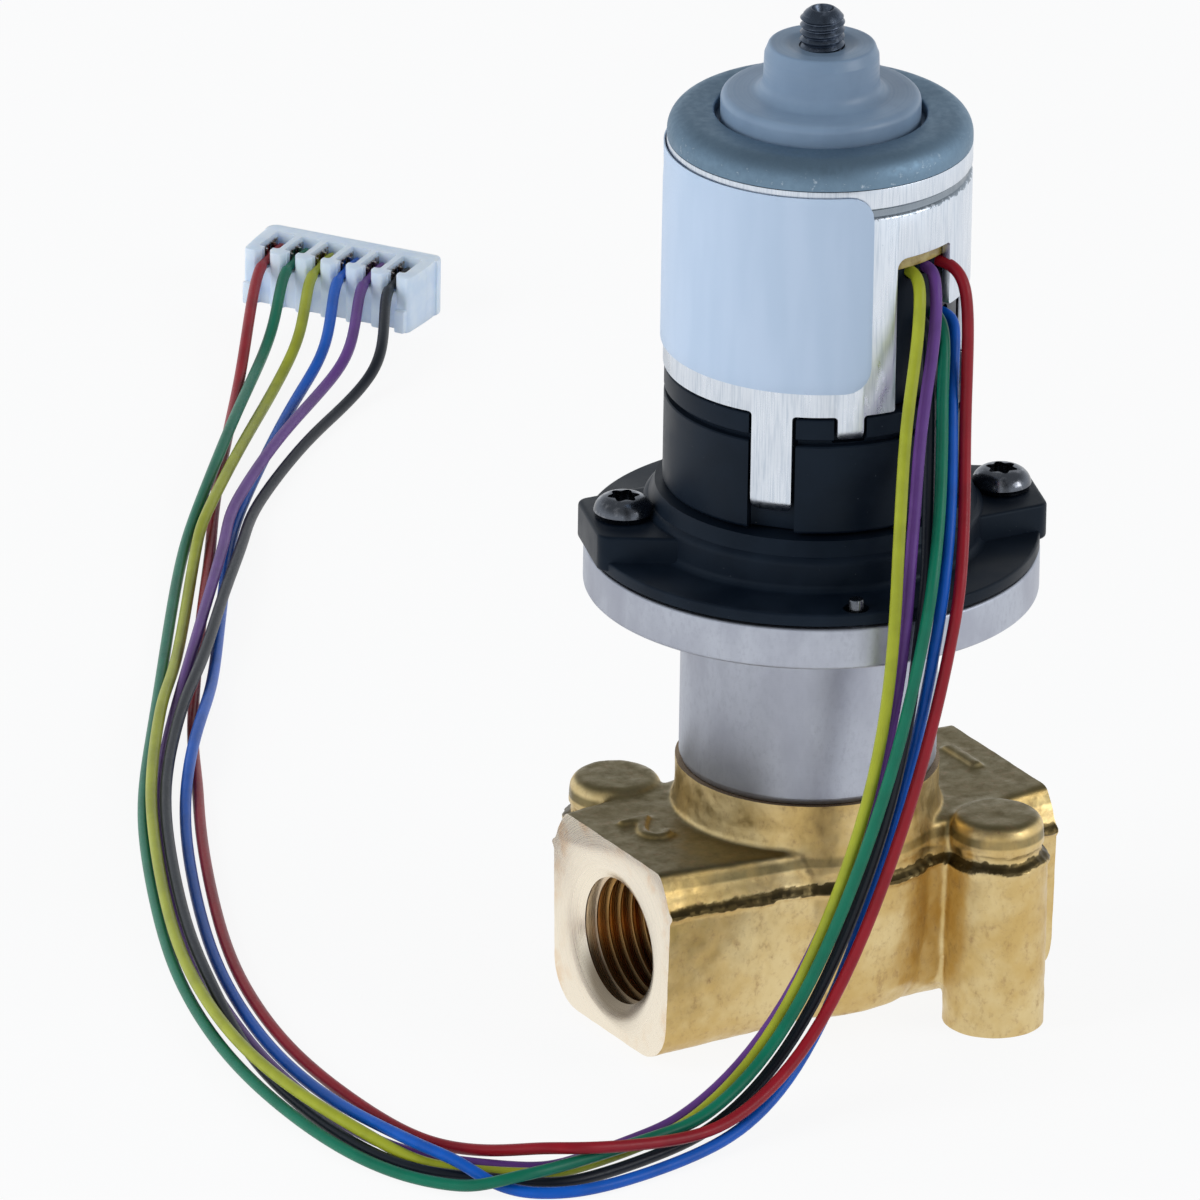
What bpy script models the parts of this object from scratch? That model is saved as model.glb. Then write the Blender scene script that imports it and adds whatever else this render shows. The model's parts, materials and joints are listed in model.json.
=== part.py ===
"""Motor-driven two-port brass valve.

A hot-forged brass body with two in-line threaded ports carries a turned steel tube with a wide disc. A
black moulded flange is screwed to the disc and carries a small can-stack linear stepper motor. The motor's
rotor is a nut on a threaded spindle, so turning it lifts a spring-loaded plunger off the seat. Six thin
leads leave the motor's window and end in a white connector.

The origin lies on the valve's vertical axis at the feet of the mounting pillars. +Z points up along the
spindle and +X towards port 1.
"""

import math

import bmesh
import bpy
from mathutils import Matrix, Vector

MM = 0.001

# Clearances
SEAT_GAP = 0.2 * MM
RUN_GAP = 0.3 * MM
TRIM_GAP = 0.1 * MM

# Roundness
FINE_STEPS = 44
ROUND_STEPS = 28
SMALL_STEPS = 18

# Motor, from the spindle outwards
SPINDLE_R = 1.47 * MM
JOURNAL_WALL = 1.13 * MM
JOURNAL_R = SPINDLE_R + JOURNAL_WALL
HUB_STEP = 1.1 * MM
HUB_R = JOURNAL_R + HUB_STEP
MAGNET_WALL = 1.9 * MM
MAGNET_R = HUB_R + MAGNET_WALL
HUB_COLLAR_R = MAGNET_R - 0.6 * MM
AIR_GAP = 0.35 * MM
POLE_INNER_R = MAGNET_R + AIR_GAP
CLAW_THICKNESS = 0.5 * MM
POLE_CLAW_R = POLE_INNER_R + CLAW_THICKNESS
BOBBIN_INNER_R = POLE_CLAW_R + 0.25 * MM
BOBBIN_WALL = 0.3 * MM
BOBBIN_BARREL_R = BOBBIN_INNER_R + BOBBIN_WALL
WINDING_DEPTH = 0.5 * MM
WINDING_R = BOBBIN_BARREL_R + WINDING_DEPTH
BOBBIN_FLANGE_R = WINDING_R + TRIM_GAP
BLOCK_INNER_R = BOBBIN_FLANGE_R + RUN_GAP
BLOCK_WALL = 1.2 * MM
BLOCK_OUTER_R = BLOCK_INNER_R + BLOCK_WALL
CAN_WALL = 0.6 * MM
CAN_R = BLOCK_OUTER_R + RUN_GAP + CAN_WALL
POLE_OUTER_R = CAN_R - CAN_WALL - SEAT_GAP
HOUSING_R = CAN_R - TRIM_GAP
HOUSING_INNER_R = MAGNET_R + 0.7 * MM
STRAP_BACK_GAP = 0.4 * MM
STRAP_RECESS_R = CAN_R - CAN_WALL - STRAP_BACK_GAP
END_PLATE_RIM = 3.06 * MM
END_PLATE_HOLE_R = CAN_R - END_PLATE_RIM
BUSH_DISC_GAP = 0.38 * MM
BUSH_DISC_R = END_PLATE_HOLE_R - BUSH_DISC_GAP
BUSH_FOOT_R = CAN_R - CAN_WALL - 0.6 * MM

# Motor flange, disc and port bar, from the motor outwards
FLANGE_STEP_R = HOUSING_R + 0.5 * MM
FLANGE_BOSS_R = FLANGE_STEP_R + 0.8 * MM
SCREW_HEAD_R = 1.95 * MM
SCREW_SPACING = 2.0 * (FLANGE_STEP_R + 0.4 * MM + SCREW_HEAD_R)
SCREW_EDGE = 2.55 * MM
EAR_REACH = SCREW_SPACING / 2.0 + SCREW_EDGE
EAR_PROUD = 0.3 * MM
DISC_R = EAR_REACH - EAR_PROUD
PORT_REACH = DISC_R

# Forged body
PORT_AXIS_Z = 7.3 * MM
PORT_BORE_R = 4.3 * MM
PORT_BORE_DEPTH = 7.7 * MM
PORT_DRILL_POINT = 1.2 * MM
PORT_COUNTERSINK_R = 5.45 * MM
BODY_TOP_Z = 14.4 * MM
BODY_BOTTOM_Z = 0.8 * MM
BODY_HALF_WIDTH = 7.3 * MM
BODY_TOP_HALF_WIDTH = 5.9 * MM
BODY_BOTTOM_HALF_WIDTH = 6.9 * MM
BODY_LOWER_CORNER_R = 3.0 * MM
PARTING_Z = 12.1 * MM
BAR_SWELL = 1.3 * MM
BAR_TOP_SWELL = 0.9 * MM
DRUM_R = 9.3 * MM
DRUM_SHOULDER_R = 8.95 * MM
DRUM_WAIST_R = 9.05 * MM
DRUM_FOOT_R = 8.5 * MM
DRUM_BOTTOM_Z = 1.6 * MM
BOSS_R = 8.7 * MM
BOSS_TOP_Z = 17.6 * MM
PILLAR_X = 9.3 * MM
PILLAR_Y = 8.9 * MM
PILLAR_R = 3.35 * MM
PILLAR_TOP_R = 3.1 * MM
PILLAR_TOP_Z = 14.65 * MM
PILLAR_HOLE_R = 1.65 * MM
PILLAR_HOLE_DEPTH = 8.0 * MM
WEB_WIDTH = 3.4 * MM
WEB_BOTTOM_Z = 2.6 * MM
PASSAGE_R = 1.1 * MM
OUTLET_X = 4.9 * MM
OUTLET_RISE_R = 0.95 * MM
CHAMBER_R = 6.1 * MM
CHAMBER_FLOOR_Z = 9.8 * MM

# Seat
SEAT_R = 2.6 * MM
SEAT_DEPTH = 1.3 * MM
SEAT_LIP_R = 0.95 * MM
SEAT_LIP_Z = 10.6 * MM
SEAT_SHOULDER_Z = 10.2 * MM
ORIFICE_R = 0.6 * MM

# Flanged tube
NECK_R = 8.5 * MM
DISC_BOTTOM_Z = 30.0 * MM
DISC_TOP_Z = 32.9 * MM
DISC_EDGE = 0.25 * MM
SPIGOT_BOTTOM_Z = 12.2 * MM
TUBE_BORE_R = 4.1 * MM
TUBE_SHELF_Z = 26.6 * MM
NECK_SEAL_Z = 14.8 * MM
NECK_SEAL_R = 0.55 * MM
GLAND_R = 3.75 * MM
GLAND_FLOOR_Z = 28.6 * MM
GLAND_TOP_Z = 31.6 * MM
DISC_RECESS_R = 5.5 * MM

# Plunger and its spring
STEM_R = 2.1 * MM
PLUNGER_HEAD_R = 3.7 * MM
PLUNGER_BOTTOM_Z = 11.2 * MM
PLUNGER_HEAD_TOP_Z = 16.5 * MM
PLUNGER_TOP_Z = 33.2 * MM
SEAL_DISC_R = 2.5 * MM
SEAL_DISC_HEIGHT = 1.2 * MM
STEM_SEAL_R = 0.6 * MM
BUSH_HEIGHT = 1.2 * MM
SPRING_R = 3.3 * MM
SPRING_WIRE_R = 0.3 * MM
SPRING_TURNS = 5
SPRING_POINTS_PER_TURN = 10

# Motor flange
PLATE_TOP_Z = 33.9 * MM
PLATE_EDGE = 0.2 * MM
FLANGE_BOSS_TOP_Z = 37.2 * MM
FLANGE_STEP_Z = 36.2 * MM
EAR_TURN = -18.5
EAR_TOP_Z = 36.0 * MM
EAR_END_HALF_WIDTH = 2.3 * MM
EAR_SHOULDER_HALF_WIDTH = 4.3 * MM
EAR_ROOT_HALF_WIDTH = 6.4 * MM
EAR_CORNER_R = 0.8 * MM
SCREW_SHANK_R = 1.0 * MM
SCREW_HEAD_HEIGHT = 1.3 * MM
SCREW_END_Z = 31.0 * MM
SCREW_SOCKET_R = 0.95 * MM
PIN_TURN = -110.1
PIN_EDGE = 1.05 * MM
PIN_X = (DISC_R - PIN_EDGE) * math.cos(math.radians(PIN_TURN))
PIN_Y = (DISC_R - PIN_EDGE) * math.sin(math.radians(PIN_TURN))
PIN_R = 0.5 * MM
PIN_LENGTH = 2.4 * MM
PIN_PROUD = 0.15 * MM

# Rotor, spindle and bearing
SPINDLE_BOTTOM_Z = 28.8 * MM
SPINDLE_TOP_Z = 71.2 * MM
SPINDLE_TIP_CHAMFER = 0.35 * MM
JOURNAL_BOTTOM_Z = 35.7 * MM
BEARING_WALL = 0.9 * MM
BEARING_BOTTOM_Z = 34.6 * MM
HUB_BOTTOM_Z = 38.8 * MM
HUB_TOP_Z = 60.6 * MM
JOURNAL_TOP_Z = 63.5 * MM
MAGNET_BOTTOM_Z = 44.6 * MM
MAGNET_TOP_Z = 59.8 * MM

# Front housing
HOUSING_BOTTOM_Z = 37.4 * MM
HOUSING_FLOOR_Z = 38.4 * MM
SPLIT_Z = 43.6 * MM
SPLIT_HEIGHT = 0.3 * MM
SPLIT_DEPTH = 0.35 * MM
HOUSING_TOP_Z = 45.5 * MM
STRAP_RECESS_MARGIN = 1.2
STRAP_RECESS_DROP = 0.5 * MM

# Motor can and end plate
CAN_BOTTOM_Z = 45.7 * MM
CAN_TOP_Z = 61.5 * MM
CAN_GROOVE_Z = 59.6 * MM
CAN_GROOVE_HALF = 0.35 * MM
CAN_GROOVE_DEPTH = 0.22 * MM
STRAP_TURNS = (-138.6, 41.4)
STRAP_HALF_ANGLE = 8.0
STRAP_BOTTOM_Z = 39.3 * MM
TAB_TURNS = (-108.5, 71.5)
TAB_HALF_ANGLE = 5.1
TAB_BOTTOM_Z = 43.7 * MM
WINDOW_START_ANGLE = -90.8
WINDOW_END_ANGLE = -56.8
WINDOW_TOP_Z = 56.3 * MM
NOTCH_END_ANGLE = -21.8
NOTCH_TOP_Z = 51.9 * MM
END_PLATE_TOP_Z = 63.4 * MM
END_PLATE_CORNER_R = 1.5 * MM
END_PLATE_THICKNESS = 0.8 * MM
LABEL_THICKNESS = 0.1 * MM
LABEL_START_ANGLE = -271.4
LABEL_END_ANGLE = -101.4
LABEL_BOTTOM_Z = 47.4 * MM
LABEL_TOP_Z = 61.1 * MM

# Coils
POLE_THICKNESS = 0.6 * MM
CLAW_COUNT = 6
CLAW_HALF_ANGLE = 9.0
CLAW_LENGTH = 5.2 * MM
BOBBIN_FLANGE = 0.5 * MM

# Bush on top
BUSH_DISC_TOP_Z = 64.7 * MM
BUSH_COLLAR_R = 3.8 * MM
BUSH_RIM_R = 3.5 * MM
BUSH_TOP_Z = 68.3 * MM
BUSH_FILLET_R = 0.9 * MM

# Terminal block and its insulation strip
BLOCK_BOTTOM_Z = 45.7 * MM
BLOCK_TOP_Z = 55.9 * MM
BLOCK_SIDE_MARGIN = 1.4
LEAD_HOLE_GAP = 0.15 * MM
STRIP_THICKNESS = 0.1 * MM
STRIP_BOTTOM_Z = 55.6 * MM
STRIP_TOP_Z = 57.6 * MM
STRIP_MARGIN = 2.0

# Connector
CONNECTOR_X = 35.7 * MM
CONNECTOR_Y = 119.4 * MM
CONNECTOR_TURN = -56.8
CONNECTOR_PITCH = 2.0 * MM
CONNECTOR_WAYS = 6
CONNECTOR_END = 1.9 * MM
CONNECTOR_DEPTH = 5.2 * MM
CONNECTOR_HEIGHT = 4.2 * MM
CONNECTOR_BEVEL = 0.2 * MM
POCKET_WIDTH = 1.56 * MM
POCKET_FLOOR_Z = 2.6 * MM
POCKET_LENGTH = 3.9 * MM
SOCKET_SIZE = 0.9 * MM
SOCKET_DEPTH = 0.9 * MM
SOCKET_Z = 1.4 * MM
TERMINAL_WIDTH = 1.36 * MM
TERMINAL_WALL = 0.13 * MM
TERMINAL_HEIGHT = 1.2 * MM
TERMINAL_LENGTH = 2.4 * MM
TERMINAL_NOTCH = 0.7 * MM

# Leads
LEAD_R = 0.4 * MM
LEAD_STEPS = (0.0,)
LEAD_COLOURS = {
    "lead_red": (0.45, 0.03, 0.03),
    "lead_green": (0.0, 0.25, 0.16),
    "lead_yellow": (0.5, 0.48, 0.08),
    "lead_blue": (0.02, 0.2, 0.6),
    "lead_purple": (0.25, 0.08, 0.35),
    "lead_black": (0.02, 0.02, 0.03),
}

# Route of each lead in millimetres, from the block inside the window to the connector
LEADS = {
    "lead_red": [
        (3.7, -7.1, 54.8), (4.4, -8.4, 54.8), (4.8, -9.3, 54.5), (5.0, -10.0, 53.7),
        (4.9, -10.6, 52.4), (4.7, -11.1, 50.0), (4.0, -12.0, 44.4), (3.0, -13.8, 39.6),
        (1.3, -16.2, 36.0), (0.3, -17.2, 33.2), (-2.0, -16.8, 21.5), (-7.5, -15.5, 5.8),
        (-15.5, -18.0, 1.9), (-20.0, -18.1, 1.2), (-28.0, -18.6, 2.6), (-30.3, -16.7, 2.5),
        (-31.9, -13.8, 1.4), (-33.4, -10.1, 0.5), (-34.6, -6.4, 0.4), (-34.9, -0.2, 0.4),
        (-34.5, 8.0, 0.4), (-32.4, 17.1, 0.4), (-29.1, 26.5, 0.4), (-21.6, 42.0, 0.4),
        (-17.4, 49.3, 0.4), (-14.4, 55.2, 0.4), (-11.1, 60.7, 0.4), (-7.8, 66.0, 0.4),
        (-1.3, 76.1, 0.4), (4.7, 85.0, 0.4), (8.5, 91.3, 0.4), (17.3, 103.8, 0.4),
        (21.2, 109.1, 0.9), (24.3, 113.4, 2.2), (30.1, 121.8, 3.2), (31.6, 122.7, 3.3),
        (33.7, 124.1, 3.3),
    ],
    "lead_green": [
        (3.3, -7.4, 51.4), (3.7, -8.2, 51.4), (3.8, -9.1, 51.1), (3.6, -9.9, 50.3),
        (3.2, -10.6, 49.0), (2.6, -11.4, 47.0), (2.1, -12.3, 44.9), (1.0, -14.0, 40.0),
        (-0.9, -16.3, 36.5), (-1.9, -17.2, 33.7), (-3.9, -16.4, 21.8), (-9.6, -14.8, 6.0),
        (-17.5, -16.9, 1.9), (-20.5, -16.3, 1.2), (-27.9, -17.8, 1.5), (-31.0, -18.4, 1.7),
        (-33.4, -18.1, 1.6), (-35.3, -16.9, 0.9), (-36.4, -15.1, 0.5), (-38.3, -12.0, 0.4),
        (-39.5, -7.0, 0.4), (-39.6, 0.0, 0.4), (-38.7, 8.8, 0.4), (-36.3, 18.3, 0.4),
        (-32.7, 28.0, 0.4), (-25.0, 43.9, 0.4), (-20.5, 51.3, 0.4), (-16.8, 56.8, 0.4),
        (-13.2, 62.1, 0.4), (-9.7, 67.3, 0.4), (-3.0, 77.3, 0.4), (3.1, 86.1, 0.4),
        (7.4, 91.1, 1.1), (14.5, 99.4, 1.8), (19.0, 104.9, 1.5), (24.7, 111.9, 0.9),
        (27.3, 114.5, 2.2), (31.2, 120.1, 3.2), (32.7, 121.1, 3.3), (34.8, 122.4, 3.3),
    ],
    "lead_yellow": [
        (1.3, -8.0, 54.9), (1.5, -9.3, 54.9), (1.4, -10.1, 54.6), (1.1, -10.8, 53.8),
        (0.8, -11.2, 52.6), (0.5, -11.5, 50.5), (-1.3, -13.1, 45.9), (-2.4, -14.5, 40.9),
        (-3.4, -15.8, 36.9), (-3.9, -16.5, 33.9), (-4.1, -15.3, 21.4), (-9.7, -13.7, 5.6),
        (-17.6, -15.8, 1.5), (-20.8, -15.4, 0.4), (-27.8, -16.8, 0.4), (-30.2, -16.4, 0.4),
        (-32.7, -14.6, 0.4), (-34.0, -13.4, 0.4), (-36.3, -11.2, 0.4), (-38.0, -6.8, 1.4),
        (-38.8, 0.0, 1.6), (-38.2, 8.7, 1.5), (-35.8, 18.2, 1.4), (-32.3, 27.8, 1.4),
        (-24.5, 43.6, 1.4), (-20.1, 51.0, 1.4), (-16.4, 56.6, 1.4), (-12.8, 61.9, 1.4),
        (-8.9, 66.8, 0.8), (-2.2, 76.7, 0.4), (3.9, 85.6, 1.0), (5.3, 87.1, 1.7),
        (13.8, 96.8, 1.5), (20.2, 104.4, 0.4), (24.8, 109.1, 0.8), (28.0, 111.9, 2.2),
        (32.3, 118.4, 3.2), (33.8, 119.4, 3.3), (35.9, 120.8, 3.3),
    ],
    "lead_blue": [
        (4.5, -6.7, 50.8), (5.0, -7.5, 50.8), (5.3, -8.3, 50.5), (5.0, -9.0, 49.7),
        (4.5, -9.7, 48.6), (3.9, -10.6, 47.2), (3.0, -12.0, 44.6), (2.1, -13.6, 39.7),
        (0.4, -15.7, 36.0), (-0.5, -16.5, 33.1), (-1.7, -15.1, 20.8), (-6.9, -14.1, 5.1),
        (-13.8, -17.3, 1.2), (-19.7, -19.0, 0.4), (-28.2, -20.3, 0.4), (-31.4, -19.2, 0.4),
        (-33.1, -17.8, 0.4), (-34.4, -16.1, 0.9), (-35.1, -14.2, 1.6), (-36.0, -11.1, 1.6),
        (-36.5, -6.6, 1.4), (-36.5, -0.2, 0.7), (-35.7, 8.2, 0.4), (-33.4, 17.5, 0.4),
        (-30.1, 26.9, 0.4), (-22.6, 42.5, 0.4), (-18.1, 49.7, 1.2), (-14.2, 55.1, 1.5),
        (-10.3, 60.2, 1.1), (-6.7, 65.3, 0.4), (-0.2, 75.4, 0.4), (5.7, 84.3, 0.4),
        (9.4, 89.4, 0.4), (20.7, 102.3, 0.4), (25.3, 106.7, 0.8), (28.6, 109.2, 2.2),
        (33.4, 116.7, 3.2), (34.9, 117.7, 3.3), (37.0, 119.1, 3.3),
    ],
    "lead_purple": [
        (2.5, -7.6, 54.9), (2.9, -9.0, 54.9), (2.8, -9.8, 54.6), (2.5, -10.5, 53.8),
        (2.3, -10.9, 52.5), (1.9, -11.3, 50.0), (0.3, -12.4, 45.3), (-0.9, -13.9, 40.4),
        (-2.2, -15.4, 36.5), (-2.8, -16.2, 33.5), (-3.2, -14.5, 20.9), (-9.4, -12.8, 5.2),
        (-17.9, -14.8, 1.2), (-21.0, -14.4, 0.4), (-27.7, -15.8, 0.4), (-29.9, -15.5, 0.4),
        (-31.9, -13.9, 0.4), (-35.2, -10.8, 0.4), (-37.0, -6.7, 0.4), (-37.5, -0.1, 0.4),
        (-36.7, 8.4, 0.4), (-34.4, 17.8, 0.4), (-31.4, 27.5, 0.4), (-24.1, 43.4, 0.4),
        (-19.6, 50.7, 0.4), (-15.9, 56.2, 0.4), (-12.1, 61.4, 0.4), (-8.1, 66.3, 1.4),
        (-0.9, 75.8, 1.5), (5.6, 84.4, 1.4), (7.6, 87.7, 1.4), (15.5, 95.6, 1.5),
        (20.6, 100.3, 1.3), (26.1, 105.4, 0.8), (29.5, 107.3, 2.2), (34.5, 115.1, 3.2),
        (36.0, 116.0, 3.3), (38.1, 117.4, 3.3),
    ],
    "lead_black": [
        (2.1, -7.8, 51.4), (2.3, -8.6, 51.4), (2.4, -9.5, 51.1), (2.4, -10.1, 50.2),
        (2.2, -10.3, 48.9), (2.2, -10.4, 47.3), (1.6, -11.5, 44.7), (0.5, -13.2, 39.8),
        (-0.8, -15.4, 36.0), (-1.6, -15.9, 33.0), (-2.6, -15.7, 21.2), (-8.2, -14.3, 5.5),
        (-15.6, -16.3, 1.2), (-20.2, -17.2, 0.4), (-28.0, -18.6, 0.4), (-30.8, -17.9, 0.4),
        (-33.4, -15.2, 0.4), (-34.9, -14.1, 0.4), (-37.2, -11.6, 0.4), (-38.4, -6.9, 0.4),
        (-38.5, -0.1, 0.4), (-37.6, 8.6, 0.6), (-34.8, 17.9, 1.5), (-31.4, 27.4, 1.5),
        (-23.7, 43.2, 1.4), (-19.2, 50.5, 1.4), (-15.4, 55.9, 1.4), (-11.5, 61.0, 1.6),
        (-7.3, 65.7, 1.6), (-0.1, 75.3, 1.5), (6.6, 83.7, 1.0), (10.0, 88.8, 0.5),
        (19.6, 97.8, 0.4), (24.5, 101.4, 0.4), (28.7, 104.3, 0.8), (31.2, 105.9, 2.2),
        (35.6, 113.4, 3.2), (37.1, 114.4, 3.3), (39.2, 115.7, 3.3),
    ],
}

PARTS = None
CUTTERS = None


def clear_scene():
    """Remove every object and collection, and make one collection for parts and one for cutters."""
    global PARTS, CUTTERS
    for old in list(bpy.data.objects):
        bpy.data.objects.remove(old, do_unlink=True)
    for old in list(bpy.data.collections):
        bpy.data.collections.remove(old)
    PARTS = bpy.data.collections.new("motor_valve")
    CUTTERS = bpy.data.collections.new("cutters")
    bpy.context.scene.collection.children.link(PARTS)
    bpy.context.scene.collection.children.link(CUTTERS)


def finish(name, colour, roughness, metallic):
    """A Principled material."""
    material = bpy.data.materials.new(name)
    material.use_nodes = True
    shader = material.node_tree.nodes["Principled BSDF"]
    shader.inputs["Base Color"].default_value = (*colour, 1.0)
    shader.inputs["Roughness"].default_value = roughness
    shader.inputs["Metallic"].default_value = metallic
    return material


def add(name, data, material=None):
    """Link new data as a part with its material, or as a cutter without one."""
    made = bpy.data.objects.new(name, data)
    if material is None:
        CUTTERS.objects.link(made)
        made.hide_render = True
        made.display_type = "WIRE"
    else:
        PARTS.objects.link(made)
        data.materials.append(material)
    return made


def lathe(name, profile, material=None, steps=ROUND_STEPS):
    """Turn a profile of (radius, height) points about Z.

    The points run down the outer side. A profile that starts and ends on the axis stays open, and any other
    is closed into a ring.
    """
    mesh = bpy.data.meshes.new(name)
    count = len(profile)
    solid = profile[0][0] == 0.0 and profile[-1][0] == 0.0
    edges = [(i, i + 1) for i in range(count - 1)]
    if not solid:
        edges.append((count - 1, 0))
    mesh.from_pydata([(r, 0.0, z) for r, z in profile], edges, [])
    made = add(name, mesh, material)
    screw = made.modifiers.new("turn", "SCREW")
    screw.axis = "Z"
    screw.steps = steps
    screw.render_steps = steps
    screw.use_merge_vertices = True
    screw.merge_threshold = 0.000001
    screw.use_smooth_shade = True
    return made


def arc(centre, radius, start, end, steps):
    """Points (radius, height) on an arc, from one angle to another in degrees."""
    points = []
    for i in range(steps + 1):
        turn = math.radians(start + (end - start) * i / steps)
        points.append((centre[0] + radius * math.cos(turn), centre[1] + radius * math.sin(turn)))
    return points


def filleted(corners, steps=4):
    """A closed outline from (x, y, radius) corners, with an arc at each corner that has a radius."""
    outline = []
    for i, (x, y, radius) in enumerate(corners):
        here = Vector((x, y))
        if radius == 0.0:
            outline.append((x, y))
            continue
        back = (Vector(corners[i - 1][:2]) - here).normalized()
        on = (Vector(corners[(i + 1) % len(corners)][:2]) - here).normalized()
        half = back.angle(on) / 2.0
        middle = here + (back + on).normalized() * (radius / math.sin(half))
        first = here + back * (radius / math.tan(half)) - middle
        last = here + on * (radius / math.tan(half)) - middle
        sweep = first.angle_signed(last)
        for k in range(steps + 1):
            outline.append(tuple(middle + Matrix.Rotation(-sweep * k / steps, 2) @ first))
    return outline


def prism(name, outline, low, high, material=None, axis="Z"):
    """A flat outline carried from one height to another along Z, or along X with the outline in Y and Z."""
    bm = bmesh.new()
    if axis == "Z":
        ring = [bm.verts.new((a, b, low)) for a, b in outline]
        step = Vector((0.0, 0.0, high - low))
    else:
        ring = [bm.verts.new((low, a, b)) for a, b in outline]
        step = Vector((high - low, 0.0, 0.0))
    base = bm.faces.new(ring)
    grown = bmesh.ops.extrude_face_region(bm, geom=[base])
    moved = [item for item in grown["geom"] if isinstance(item, bmesh.types.BMVert)]
    bmesh.ops.translate(bm, vec=step, verts=moved)
    bmesh.ops.recalc_face_normals(bm, faces=bm.faces)
    mesh = bpy.data.meshes.new(name)
    bm.to_mesh(mesh)
    bm.free()
    return add(name, mesh, material)


def sector(name, radius, start, end, low, high, inner=0.0):
    """A cutter about the axis between two angles in degrees, shaped as a slice or as a piece of a ring."""
    steps = max(2, math.ceil((end - start) / 8.0))
    outline = arc((0.0, 0.0), radius, start, end, steps)
    if inner > 0.0:
        outline += arc((0.0, 0.0), inner, end, start, steps)
    else:
        outline.append((0.0, 0.0))
    return prism(name, outline, low, high)


def block(name, size, centre, material=None, turn=0.0):
    """A box of a given size about its centre, turned about Z in degrees."""
    bm = bmesh.new()
    bmesh.ops.create_cube(bm, size=1.0)
    bmesh.ops.scale(bm, vec=Vector(size), verts=bm.verts)
    mesh = bpy.data.meshes.new(name)
    bm.to_mesh(mesh)
    bm.free()
    made = add(name, mesh, material)
    made.location = centre
    made.rotation_euler.z = math.radians(turn)
    return made


def rod(name, radius, start, end, steps=SMALL_STEPS, material=None):
    """A cylinder between two points."""
    start = Vector(start)
    end = Vector(end)
    bm = bmesh.new()
    bmesh.ops.create_cone(
        bm, cap_ends=True, segments=steps, radius1=radius, radius2=radius, depth=(end - start).length
    )
    mesh = bpy.data.meshes.new(name)
    bm.to_mesh(mesh)
    bm.free()
    made = add(name, mesh, material)
    made.location = (start + end) / 2.0
    made.rotation_mode = "QUATERNION"
    made.rotation_quaternion = (end - start).to_track_quat("Z", "Y")
    return made


def combine(target, tool, operation="DIFFERENCE"):
    """Cut a part with a cutter, or join or intersect the two."""
    step = target.modifiers.new(tool.name, "BOOLEAN")
    step.operation = operation
    step.solver = "EXACT"
    step.object = tool


def turned(angle, reach, height=0.0):
    """The point at a radius and an angle in degrees about the axis."""
    return Vector((reach * math.cos(math.radians(angle)), reach * math.sin(math.radians(angle)), height))


def ring(name, centre_r, section_r, height, material, steps=ROUND_STEPS, sides=10):
    """A torus seal about the axis."""
    profile = arc((centre_r, height), section_r, 90.0, -270.0, sides)[:-1]
    return lathe(name, profile, material, steps)


def bar_outline():
    """The section of the port bar, widest at the parting line, with soft lower corners."""
    half = [
        (-BODY_TOP_HALF_WIDTH, BODY_TOP_Z, 0.5 * MM),
        (-BODY_HALF_WIDTH, PARTING_Z, 0.4 * MM),
        (-BODY_BOTTOM_HALF_WIDTH, BODY_BOTTOM_Z, BODY_LOWER_CORNER_R),
    ]
    other = [(-x, z, radius) for x, z, radius in reversed(half)]
    return filleted(half + other)


def swell_bar(mesh):
    """Widen the port bar towards its middle, most along its top edges."""
    bm = bmesh.new()
    bm.from_mesh(mesh)
    everything = bm.verts[:] + bm.edges[:] + bm.faces[:]
    bmesh.ops.bisect_plane(bm, geom=everything, plane_co=(0.0, 0.0, 0.0), plane_no=(1.0, 0.0, 0.0))
    for vert in bm.verts:
        if abs(vert.co.x) > 0.01 * MM:
            continue
        height = min(1.0, max(0.0, (vert.co.z - PARTING_Z) / (BODY_TOP_Z - PARTING_Z)))
        vert.co.y += math.copysign(BAR_SWELL + height * BAR_TOP_SWELL, vert.co.y)
    bmesh.ops.recalc_face_normals(bm, faces=bm.faces)
    bm.to_mesh(mesh)
    bm.free()


def port_bore(side):
    """The threaded bore of one port with its countersink and drill point, as a cutter along X."""
    mouth = PORT_REACH + 1.0 * MM
    flare = PORT_COUNTERSINK_R - PORT_BORE_R
    floor = PORT_REACH - PORT_BORE_DEPTH
    profile = [
        (0.0, mouth),
        (PORT_COUNTERSINK_R + 1.0 * MM, mouth),
        (PORT_BORE_R, PORT_REACH - flare),
        (PORT_BORE_R, floor),
        (0.5 * PASSAGE_R, floor - PORT_DRILL_POINT),
        (0.0, floor - PORT_DRILL_POINT),
    ]
    cutter = lathe(f"port_bore_{side}", profile, steps=ROUND_STEPS)
    cutter.rotation_euler.y = math.radians(90.0 * side)
    cutter.location = (0.0, 0.0, PORT_AXIS_Z)
    return cutter


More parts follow.
